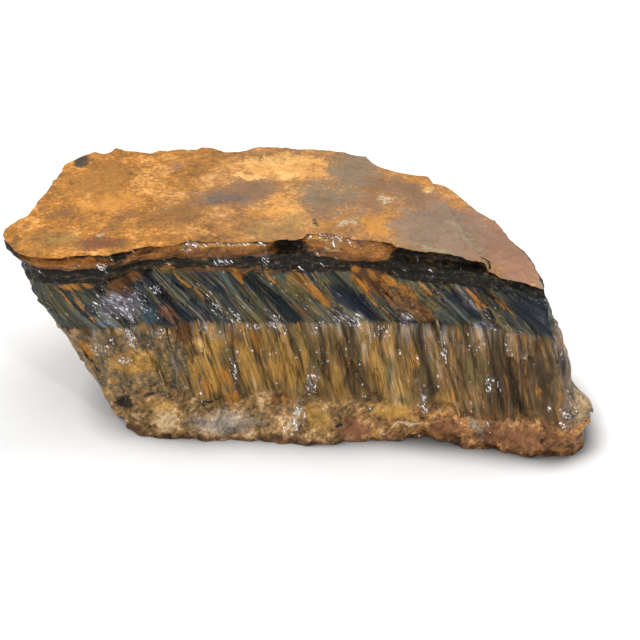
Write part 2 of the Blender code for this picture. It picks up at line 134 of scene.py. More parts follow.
# the front rim: x, undercut depth, undercut height, how far a ledge stands out below it
FRONT_RIM = (
    (-77, 1, 0.10, 0.3), (-63, 1.8, 0.12, 0.5), (-47, 1.6, 0.11, 0.5), (-43, 1, 0.10, 0.6),
    (-34, 0.6, 0.10, 0.8), (-30, -0.4, 0.30, 0.8), (-9.5, -0.4, 0.30, 0.8), (-6.5, 3.2, 0.36, -0.5),
    (-0.5, 3.2, 0.36, -0.5), (1.5, 0.3, 0.15, 0.3), (11, 0, 0.15, 0.6), (20.5, 0.3, 0.15, 0.3),
    (23.5, 3.4, 0.34, -0.6), (35, 4, 0.36, -0.6), (45, 3, 0.34, -0.4), (48, 1.6, 0.20, 0),
    (62, 1.2, 0.15, 0),
)
# single lumps and hollows: centre x, y, z, radius, how far they stand out
LUMPS = (
    (71.5, -28.5, 12.5, 6.5, 2.6), (72, -29, 10.5, 8, 2.8), (71, -23, 22, 9, 1.8), (72, -33.5, 5, 8, 0.8),
    (-62, -23, 29, 7, -1), (-49, -22.5, 6, 4.5, -2.2), (-55, -22.5, 22, 7, -0.5), (-70, -21, 40, 6, 2.2),
    (-57, -22, 19, 6, 0.8), (-25, -20.5, 40, 9, -1.8), (-35, -23.5, 28, 8, 1.2),
    (-23, -25.5, 8.5, 6, 1.6), (7, -28.5, 6, 7, 1.8), (1, -26.5, 12, 4, -1.4), (21, -25.5, 11.5, 4, -1.4),
    (49, -30.5, 8, 9, 1.5),
)

# ---- the skin: how far its swells, plates, chips and the pit of its tip go up and down ---------
SKIN_SWELL = 0.5
RIGHT_PLATE_DROP = 2.0
BACK_FLAKE_DROP = 0.7
LEFT_PLATE_DROP = 0.35
CORNER_CHIP_DROP = 1.8
TIP_PIT_DEPTH = 1.3
SKIN_GRAIN = 0.16
SKIN_PIT_DEPTH = 0.35

# ---- seams and foot ----------------------------------------------------------------------------
DROP_LENGTH = 50.0          # the skin and the dark seam drop over this much of X
SEAM_DROP = 2.0             # how far the dark seam has dropped at the right
CRUST_WAVES = 3.2           # how far the top of the crust goes up and down
FOOT_FLAT_RADIUS = 14.0     # the foot is quite flat this near the middle
FOOT_HOLLOWS = 1.8

# ---- quartz lumps of the crust, and fibre bundles: width, length, depth, tilt ------------------
LUMP_SPACING = 6.2
LUMP_HEIGHT = 1.9
SMALL_LUMP_SPACING = 2.6
BUNDLES = (6.0, 20.0, 1.1, 1.5)
FINE_BUNDLES = (2.2, 11.0, 0.45, 0.8)
SIDE_SWELL = 2.4            # slow swells of the broken sides
SIDE_SWELL_SIZE = 26.0
FRONT_SWELL_LESS = 1.8      # the front swells this much less
SMOOTHED_BELOW = 38.0       # edges flatter than this many degrees are shaded smooth

# ---- splinters: half lengths and half widths, in millimetres, and how many lie on the front
SPLINTER_LENGTH = (1.4, 4.6)
SPLINTER_WIDTH = (0.22, 0.60)
SPLINTERS_ON_FRONT = 0.22
SPLINTER_THICKNESS = 0.5    # as a share of the width
SPLINTER_SUNK = 0.06        # how deep its middle line lies in the rock
SPLINTER_TILT = 0.035       # spread of the slope at which it leaves the fibres' way
SPLINTER_RELIEF = 0.6       # how raised its material takes a splinter to be
SPLINTER_SEED = 11
# lowest turn or seam coordinate, and how far it goes on from there
SPLINTER_TURNS_IN_FRONT = (0.08, 0.88)
SPLINTER_TURNS_BEHIND = (1.2, 2.4)
SPLINTER_SEAMS = (1.05, 1.9)
NEAR_CRACK = 0.07           # a splinter this near the crack moves below it

# ---- how finely the cube is cut ----------------------------------------------------------------
ALONG = 306
ACROSS = 60
CUTS_FIRST = 6              # every axis is cut into this many parts, and then each part again
ROWS = (16, 26, 18, 18)     # rows in the crust, the gold band, the blue band and the rim
ROW_CROWDING = 0.55         # how strongly the rows crowd towards the seams


# ================================ small helpers ===================================================
def smooth_step(low, high, value):
    """0 below low, 1 above high and smooth in between; low may be the larger number."""
    share = np.clip((value - low) / (high - low), 0.0, 1.0)
    return share * share * (3.0 - 2.0 * share)


def from_table(table, place, column=1):
    """Reads one column of a table whose first column is the place, straight between its rows."""
    rows = np.array(table)
    return np.interp(place, rows[:, 0], rows[:, column])


def wave(points, size, shift=0.0):
    """Smooth noise from about -1 to 1 at each point, with waves about `size` across."""
    return np.array([noise.noise(point) for point in (points / size + shift).tolist()])


def rough(points, size, octaves=3):
    """Rough noise: waves of `size` with finer ones on top."""
    return np.array([noise.fractal(point, 1.0, 2.1, octaves) for point in (points / size).tolist()])


def cells(points, size):
    """For each point, how far it is from the middle of its cell, and where that middle is."""
    found = [noise.voronoi(point) for point in (points / size).tolist()]
    near = np.array([distances[0] for distances, _ in found])
    middles = np.array([tuple(middle[0]) for _, middle in found])
    return near, middles


def flat(x, y, level=0.0):
    return np.column_stack((x, y, np.full(len(x), level)))


# ================================ the form of the stone ===========================================
def smooth_curve(points, steps=16):
    """Points at even distances along a smooth curve through the given ones."""
    given = np.array([points[0], *points, points[-1]])
    t = (np.arange(steps) / steps)[:, None]
    parts = [0.5 * (2 * b + (c - a) * t + (2 * a - 5 * b + 4 * c - d) * t ** 2
                    + (3 * b - a - 3 * c + d) * t ** 3)
             for a, b, c, d in zip(given, given[1:], given[2:], given[3:])]
    dense = np.vstack((*parts, given[-1:]))
    run = np.concatenate(([0.0], np.cumsum(np.linalg.norm(np.diff(dense, axis=0), axis=1))))
    wanted = np.linspace(0.0, run[-1], CURVE_STEPS + 1)
    return np.column_stack([np.interp(wanted, run, dense[:, axis]) for axis in range(2)])


SKIN_SIDES = np.array([smooth_curve(side) for side in SKIN_OUTLINE])
FOOT_SIDES = np.array([smooth_curve(side) for side in FOOT_OUTLINE])


def ring_points(turn, rise):
    """Points of the plain outline: turn counts the sides from 0 to 4, rise from 0 to 1."""
    side = np.floor(turn).astype(int) % 4
    place = (turn % 1.0) * CURVE_STEPS
    index = np.minimum(place.astype(int), CURVE_STEPS - 1)
    share = (place - index)[:, None]
    foot = FOOT_SIDES[side, index] * (1 - share) + FOOT_SIDES[side, index + 1] * share
    skin = SKIN_SIDES[side, index] * (1 - share) + SKIN_SIDES[side, index + 1] * share
    return foot + (skin - foot) * np.asarray(rise)[..., None]


def front_line(x, seam):
    """y of the front at x, at the given seam coordinate."""
    lines = np.array([from_table(FRONT_LINES, x, column) for column in range(1, 7)])
    place = np.interp(seam, LINE_SEAMS, range(len(LINE_SEAMS)))
    index = np.minimum(place.astype(int), len(LINE_SEAMS) - 2)
    column = np.arange(len(x))
    low, high = lines[index, column], lines[index + 1, column]
    return low + (high - low) * (place - index)


def ring_outward(turn, rise, step=0.02):
    """The level way out of the plain outline, square to it."""
    along = ring_points((turn + step) % 4, rise) - ring_points((turn - step) % 4, rise)
    along /= np.linalg.norm(along, axis=1)[:, None]
    return np.column_stack((along[:, 1], -along[:, 0]))


def skin_height(shape, x, y):
    """Height of the ochre skin: nearly flat, with shallow plates and chips."""
    drop = np.clip((x - shape.drop_starts) / DROP_LENGTH, 0.0, 1.1)
    ground = flat(x, y)
    height = shape.height - shape.right_drop * drop ** 1.5
    height += SKIN_SWELL * wave(ground, 24.0) + 0.25 * wave(ground, 8.0, 7.0)
    ragged = 1.6 * wave(ground, 6.0, 3.0) + 0.6 * wave(ground, 2.2, 5.0)
    # the reddish plate at the right lies one flake lower, along a ragged line
    height -= RIGHT_PLATE_DROP * smooth_step(-0.5, 0.5, (x - 39.0) - (6.5 - y) * 0.25 + 0.6 * ragged)
    # a flake is missing along the back right edge
    height -= BACK_FLAKE_DROP * smooth_step(-0.6, 0.6, (x - 1.0) * 0.35 + (y - 21.5) + ragged)
    # shallow plate at the left, and the chipped corner behind it
    height -= LEFT_PLATE_DROP * smooth_step(-0.6, 0.6, -51.0 - x + 0.5 * (y + 6.5) + 2.0 * ragged)
    height -= CORNER_CHIP_DROP * smooth_step(0.0, 4.0, (y - 22.0) - 0.6 * (x + 61.0) + ragged)
    # the pitted pointed tip
    height -= TIP_PIT_DEPTH * np.exp(-((x + 75.0) ** 2 + (y + 13.4) ** 2) / 4.0)
    return height


def fine_skin(x, y):
    """Grain and little pits of the skin, too small for the solid."""
    ground = flat(x, y)
    near, _ = cells(ground, 2.6)
    pits = smooth_step(0.30, 0.05, near) * smooth_step(0.0, 0.3, wave(ground, 9.0, 11.0))
    return SKIN_GRAIN * rough(ground, 4.0, 4) - SKIN_PIT_DEPTH * pits


def foot_height(x, y):
    """The foot is flat, with shallow hollows away from its middle."""
    away = smooth_step(FOOT_FLAT_RADIUS, FOOT_FLAT_RADIUS + 10.0, np.hypot(x - 3.0, y + 0.5))
    return FOOT_HOLLOWS * away * np.maximum(0.0, wave(flat(x, y, 20.0), 15.0) - 0.15)


def seam_levels(shape, x, y, skin):
    """Heights of foot, crust, crack, dark seam and skin, one row each."""
    crust = shape.crust + CRUST_WAVES * wave(flat(x, y, 40.0), 10.0)
    crack = shape.crack + 0.4 * wave(flat(x, y, 50.0), 14.0)
    drop = np.clip((x - shape.drop_starts) / DROP_LENGTH, 0.0, 1.1)
    dark = shape.dark_seam + 0.4 * wave(flat(x, y, 60.0), 15.0) - SEAM_DROP * drop ** 1.5
    return np.array((np.zeros(len(x)), crust, crack, dark, skin))


def front_share(turn):
    """1 on the front, falling to 0 a little way round its two corners."""
    return 1.0 - smooth_step(0.0, 0.2, np.minimum(np.maximum(turn - 1.0, 0.0), 4.0 - turn))


def rim_relief(turn, seam, plain):
    """Undercut and ledge of the rim: laid out along the front, ragged elsewhere."""
    place = flat(plain[:, 0], plain[:, 1], 70.0)
    deep = smooth_step(-0.1, 0.35, wave(place, 17.0))
    x = plain[:, 0] + 1.5 * wave(place, 5.0) + 0.5 * wave(place, 1.8)
    share = front_share(turn)
    laid_out = [from_table(FRONT_RIM, x, column) for column in (1, 2, 3)]
    elsewhere = [2.0 * deep, 0.1 + 0.25 * deep, 0.7 - 1.0 * deep]
    undercut, tall, ledge = [
        share * front + (1.0 - share) * other for front, other in zip(laid_out, elsewhere)]
    lip = 3.93 + 0.02 * wave(place, 3.0)
    under = smooth_step(lip - tall - 0.06, lip - tall, seam) * smooth_step(lip + 0.02, lip, seam)
    on_ledge = smooth_step(3.46, 3.54, seam) * smooth_step(lip - tall, lip - tall - 0.06, seam)
    return ledge * on_ledge - undercut * under


def across_fibres(shape, points):
    """Place across the fibres, which is the same all along one fibre."""
    x, z = points[:, 0], points[:, 2]
    above_crack = np.maximum(z - shape.crack, 0.0)
    return x + shape.gold_lean * z + (shape.blue_lean - shape.gold_lean) * above_crack


def fibre_space(shape, points):
    """The points with the lean of the fibres taken out, so that fibres run straight up."""
    return np.column_stack((across_fibres(shape, points), points[:, 1], points[:, 2]))


def grain_space(shape, plain, turn):
    """Like fibre space, but the fibres follow the broken sides down instead of running into them."""
    straight = fibre_space(shape, plain)
    middle = ring_points(turn % 4.0, np.full(len(turn), 0.5))
    away = np.abs((turn + 0.5) % 2.0 - 1.0)
    on_ends = smooth_step(0.42, 0.58, away)
    straight[:, 0] += on_ends * (middle[:, 0] - straight[:, 0])
    straight[:, 1] = middle[:, 1]
    return straight


def bundle_relief(straight, width, length, depth, tilt):
    """Splintered bundles of fibres: long cells, each broken off at its own depth and slant."""
    size = np.array((width, width, length))
    _, middles = cells(straight, size)
    own_depth = wave(middles, 0.19)
    own_tilt = wave(middles, 0.33, 9.0)
    return depth * own_depth + tilt * own_tilt * (straight[:, 0] / width - middles[:, 0])


def side_relief(shape, seam, plain):
    """What grows out of the sides: quartz lumps, fibre bundles, ragged ironstone."""
    straight = fibre_space(shape, plain)
    in_crust = smooth_step(1.15, 0.80, seam + 0.1 * wave(plain, 5.0))
    in_seam = smooth_step(2.92, 3.08, seam)
    near, _ = cells(plain, LUMP_SPACING)
    fine_near, _ = cells(plain, SMALL_LUMP_SPACING)
    crust = LUMP_HEIGHT * (0.55 - near) + 0.6 * wave(plain, 3.2) + 0.8 * (0.5 - fine_near)
    fibres = bundle_relief(straight, *BUNDLES) + bundle_relief(straight, *FINE_BUNDLES)
    fibres += 0.5 * wave(straight / (2.7, 2.7, 15.0), 1.0)
    fibres += 0.30 * wave(straight / (0.95, 0.95, 8.0), 1.0, 3.0)
    layers = plain * (1.0, 1.0, 2.5)
    seams = 0.7 * wave(layers, 5.0) + 0.35 * wave(layers, 2.2) + 0.2 * wave(layers, 1.1)
    return in_crust * crust + (1.0 - in_crust - in_seam) * fibres + in_seam * seams


def lump_relief(points):
    """How far the single lumps and hollows move each point in or out."""
    total = np.zeros(len(points))
    for x, y, z, radius, height in LUMPS:
        away = np.linalg.norm(points - (x, y, z), axis=1) / radius
        total += height * np.clip(1.0 - away * away, 0.0, 1.0) ** 2
    return total


def side_surface(shape, turn, seam):
    """Points of the finished sides, the plain points under them, and the way out."""
    middle = ring_points(turn, np.full(len(turn), 0.5))
    edge = ring_points(turn, np.ones(len(turn)))
    skin = skin_height(shape, edge[:, 0], edge[:, 1])
    levels = seam_levels(shape, middle[:, 0], middle[:, 1], skin)
    band = np.minimum(seam.astype(int), 3)
    column = np.arange(len(turn))
    low, high = levels[band, column], levels[band + 1, column]
    level = low + (high - low) * (seam - band)
    rise = level / skin
    at = ring_points(turn, rise)
    outward = ring_outward(turn, rise)
    share = front_share(turn)
    nearest = np.where(turn < 1.0, turn, np.where(turn > 2.5, 0.0, 0.9999))
    front = ring_points(nearest, rise)
    at[:, 1] += share * (front_line(front[:, 0], seam) - front[:, 1])
    plain = np.column_stack((at, level))
    open_crack = smooth_step(-0.45, 0.5, wave(flat(middle[:, 0], middle[:, 1], 90.0), 9.0))
    stand = (1.0 - 0.9 * share) * from_table(SIDE_PROFILE, seam)
    stand += open_crack * from_table(CRACK_PROFILE, seam)
    stand += from_table(SIDE_BOW, turn) * 4.0 * rise * (1.0 - rise)
    stand += (SIDE_SWELL - FRONT_SWELL_LESS * share) * wave(plain, SIDE_SWELL_SIZE)
    stand += rim_relief(turn, seam, plain)
    stand += shape.relief * side_relief(shape, seam, plain)
    stand += lump_relief(plain)
    place = at + outward * stand[:, None]
    top = seam >= 4.0
    level[top] = skin_height(shape, place[top, 0], place[top, 1])
    level += foot_height(place[:, 0], place[:, 1]) * (1.0 - level / skin)
    return np.column_stack((place, level)), plain, outward


def row_seams():
    """Seam coordinate of every row of the grid, crowded towards the seams."""
    seams = [np.array([0.0])]
    for band, count in enumerate(ROWS):
        t = np.arange(1, count + 1) / count
        seams.append(band + t - ROW_CROWDING * np.sin(2 * math.pi * t) / (2 * math.pi))
    return np.concatenate(seams)


def spread_inside(edge, known, rounds=40):
    """Spreads the inner points of the top or the foot evenly inside their edge."""
    count_u, count_v = known.shape
    u = np.linspace(0.0, 1.0, count_u)[:, None, None]
    v = np.linspace(0.0, 1.0, count_v)[None, :, None]
    sides = ((1 - v) * edge[:, :1] + v * edge[:, -1:] + (1 - u) * edge[:1] + u * edge[-1:])
    corners = ((1 - u) * (1 - v) * edge[0, 0] + u * (1 - v) * edge[-1, 0]
               + (1 - u) * v * edge[0, -1] + u * v * edge[-1, -1])
    grid = np.where(known[..., None], edge, sides - corners)
    for _ in range(rounds):
        grid[1:-1, 1:-1] = 0.25 * (grid[:-2, 1:-1] + grid[2:, 1:-1] + grid[1:-1, :-2]
                                   + grid[1:-1, 2:])
    return grid


def stone_points(shape, i, j, k):
    """Where the grid points (i, j, k) of the cube go, with their seam coordinate."""
    seams = row_seams()
    top = len(seams) - 1
    seam = seams[k]
    turn = np.select(
        [j == 0, i == ALONG, j == ACROSS, i == 0],
        [i / ALONG, 1.0 + j / ACROSS, 2.0 + (ALONG - i) / ALONG, 3.0 + (ACROSS - j) / ACROSS], -1.0)
    sides = turn >= 0.0
    turn = turn % 4.0
    points = np.zeros((len(i), 3))
    plain = np.zeros((len(i), 3))
    points[sides], plain[sides], _ = side_surface(shape, turn[sides], seam[sides])
    for level, height in ((0, foot_height), (top, lambda x, y: skin_height(shape, x, y))):
        edge = np.zeros((ALONG + 1, ACROSS + 1, 2))
        known = np.zeros((ALONG + 1, ACROSS + 1), bool)
        rim = sides & (k == level)
        edge[i[rim], j[rim]] = points[rim, :2]
        known[i[rim], j[rim]] = True
        grid = spread_inside(edge, known)
        inner = ~sides & (k == level)
        place = grid[i[inner], j[inner]]
        points[inner] = np.column_stack((place, height(place[:, 0], place[:, 1])))
        plain[inner] = points[inner]
    on_top = k == top
    points[on_top, 2] += fine_skin(points[on_top, 0], points[on_top, 1])
    return points, plain, seam, np.where(sides, turn, -1.0)


# ================================ colours laid on one by one ======================================
# each colour of the skin: centre x, y, half sizes, angle in degrees, strength of its patches
SKIN_STAINS = {
    # the grey patches are partly painted sheen of the skin towards the back right
    "grey": ((14, 24, 7, 11, 0, 0.95), (7, 9, 9, 11, 0, 0.7), (5, 5.7, 6.9, 5.4, 0, 0.85),
        (3.9, 14.6, 3.3, 3.4, 0, 0.7), (13.2, 22.6, 6, 9.8, 0, 0.95), (11, 10, 3.8, 6.6, 0, 0.7)),
    "mauve": ((18, 6, 9, 12, -20, 0.6), (31, 11, 11, 8, -35, 0.75), (-20, 8, 12, 6, 12, 0.85),
        (-34.7, 23.8, 3.9, 4.6, 0, 0.6), (-25.5, 5.7, 5.9, 4.9, 20, 0.75), (-13.9, 12.4, 8.1, 5, -6, 0.85),
        (-19.1, 7.9, 4.3, 3.8, 0, 0.7), (4.9, -1.3, 3.7, 3.2, 0, 0.7), (22.3, 13, 1.4, 5.6, -55, 0.8),
        (16.6, -0.6, 1.1, 7.5, -55, 0.7), (30.8, 10.2, 3.8, 3.9, -20, 0.6)),
    "brown": ((17.5, 13.5, 5, 6, 0, 0.6), (-36, -3, 9, 9, 0, 0.55), (-49, -6, 3.5, 8, -20, 0.6),
        (-64, -1, 7, 3.7, 0, 0.6), (-48.3, -6, 2.1, 8.3, -36, 0.7), (-73, -8.1, 2.3, 2.1, 36, 0.7),
        (-73.8, -14, 1.5, 2.4, 0, 0.9), (-33, -2.3, 7.9, 5.8, -16, 0.7), (-16.8, 1.9, 3.2, 2.1, 0, 0.6),
        (19.3, 13.2, 4.3, 6.7, 0, 0.7), (12.2, -10.2, 3.1, 2.6, 0, 0.5)),
    # the grey of the flake is partly painted sheen of the skin at the right
    "flake": ((35.8, -6.7, 12, 14, -30, 0.95), (36, -5, 11.2, 14.8, -36, 0.95),
        (41, -13, 5.8, 8.2, -35, 0.8), (60, -29, 2.3, 3.4, 0, 0.8)),
    "pink": ((50.5, -8, 8, 20, 28, 0.95), (29.3, -4.6, 3.7, 8.4, 0, 0.35), (44.4, 3.4, 6.5, 4.4, -43, 0.8),
        (52.4, -12, 5.9, 13.4, -54, 0.9), (56.6, -22.7, 5.3, 9, -53, 0.9)),
    "golden": ((-4.4, 26, 15, 8, 0, 0.8), (-4.6, 2, 6, 10, 0, 0.6), (-42.5, 17, 5.5, 12, 0, 0.55),
        (-42.6, 19.7, 4.6, 10.3, 0, 0.6), (-42.5, -12.8, 3.6, 3.6, 0, 0.5), (-28, -9.2, 5.7, 3.1, 0, 0.5),
        (-12.7, 26.7, 4.4, 5.3, 0, 0.8), (3.9, 28.5, 3.9, 4.7, 0, 0.6), (-2, 10, 3.8, 6.6, 0, 0.6)),
    "yellow": ((-8, 29, 12, 5, 0, 0.55), (-14.7, 19.2, 4.9, 2.3, -10, 0.9),
        (33.8, 15.8, 1.4, 1.7, -74, 0.7), (46.2, -0.5, 1.4, 1.3, -36, 0.9), (56, -25.2, 1.6, 1, -18, 0.8),
        (-4.5, 20.5, 2.4, 2.6, 0, 0.8)),
    "tan": ((7, -6, 6, 5, 0, 0.6), (-55, 15.5, 9, 11, 0, 0.7), (-60.5, 14, 7, 8, 0, 0.7),
        (-28.7, 25.5, 8.3, 4.7, 0, 0.5)),
    "olive": ((-60.5, -15, 6, 5.5, 0, 0.6), (-8.5, -10.5, 8.5, 4, 0, 0.6),
        (-60.5, -13.3, 3.4, 4.6, 0, 0.7), (-3.4, -6, 6.3, 5.2, 0, 0.6), (-65, -14.5, 8, 4.5, 0, 0.55)),
    "orange": ((20, -6, 5.5, 8.5, 0, 0.9), (-49.5, 5.2, 6, 4.9, 16, 0.9), (-54, -6, 4.2, 3.1, 0, 0.6),
        (-70, -16.3, 3.6, 3, 0, 0.6), (-22.6, 25.5, 5, 7, 0, 0.4), (-1, 25.5, 8.8, 7, -10, 0.5),
        (-12.7, -1.3, 2.1, 3.7, 0, 0.8), (-5.7, 5.7, 4, 4.4, 0, 0.7), (19.6, -6.8, 4.2, 7.3, 0, 0.9),
        (22.4, 0, 2.4, 6.4, 0, 0.7), (31.8, 20, 4.4, 3.4, -29, 0.9), (39.5, 11.2, 2.7, 4.5, -60, 0.7),
        (51.3, -9.8, 1.3, 6.3, 19, 0.5), (57.7, -19.5, 0.8, 3.5, 0, 0.8), (53.3, -2, 1.6, 2.7, -59, 0.6),
        (-58, 2, 3.4, 5, 0, 0.6), (-8, 1, 2.6, 4.4, -20, 0.8)),
    "rust": ((-52.3, -16.6, 6.4, 4.6, 0, 0.95), (-24.3, -6, 1.6, 1.6, 0, 0.6)),
    "pale": ((-51.8, -11.8, 1.2, 0.9, 0, 0.9), (10.2, -6, 2.6, 2.1, 0, 0.6), (22.6, 8, 2.4, 1.6, 0, 0.6)),
    "slate": ((-23.2, 4.1, 3.2, 2.7, 10, 0.8), (-19.5, 6.8, 5, 2.6, 14, 0.8)),
    # the first dark patch is painted shade in a small hole of the skin, the second the dark broken rock of
    # the chipped corner
    "dark": ((3.4, -6, 1.3, 2.1, 0, 0.7), (-61.8, 31.6, 2.4, 3.4, 0, 0.95)),
    "moss": ((43, -9.5, 2.7, 7.3, 35, 0.6), (32.6, -17.4, 10.4, 1.5, -19, 0.6)),
}
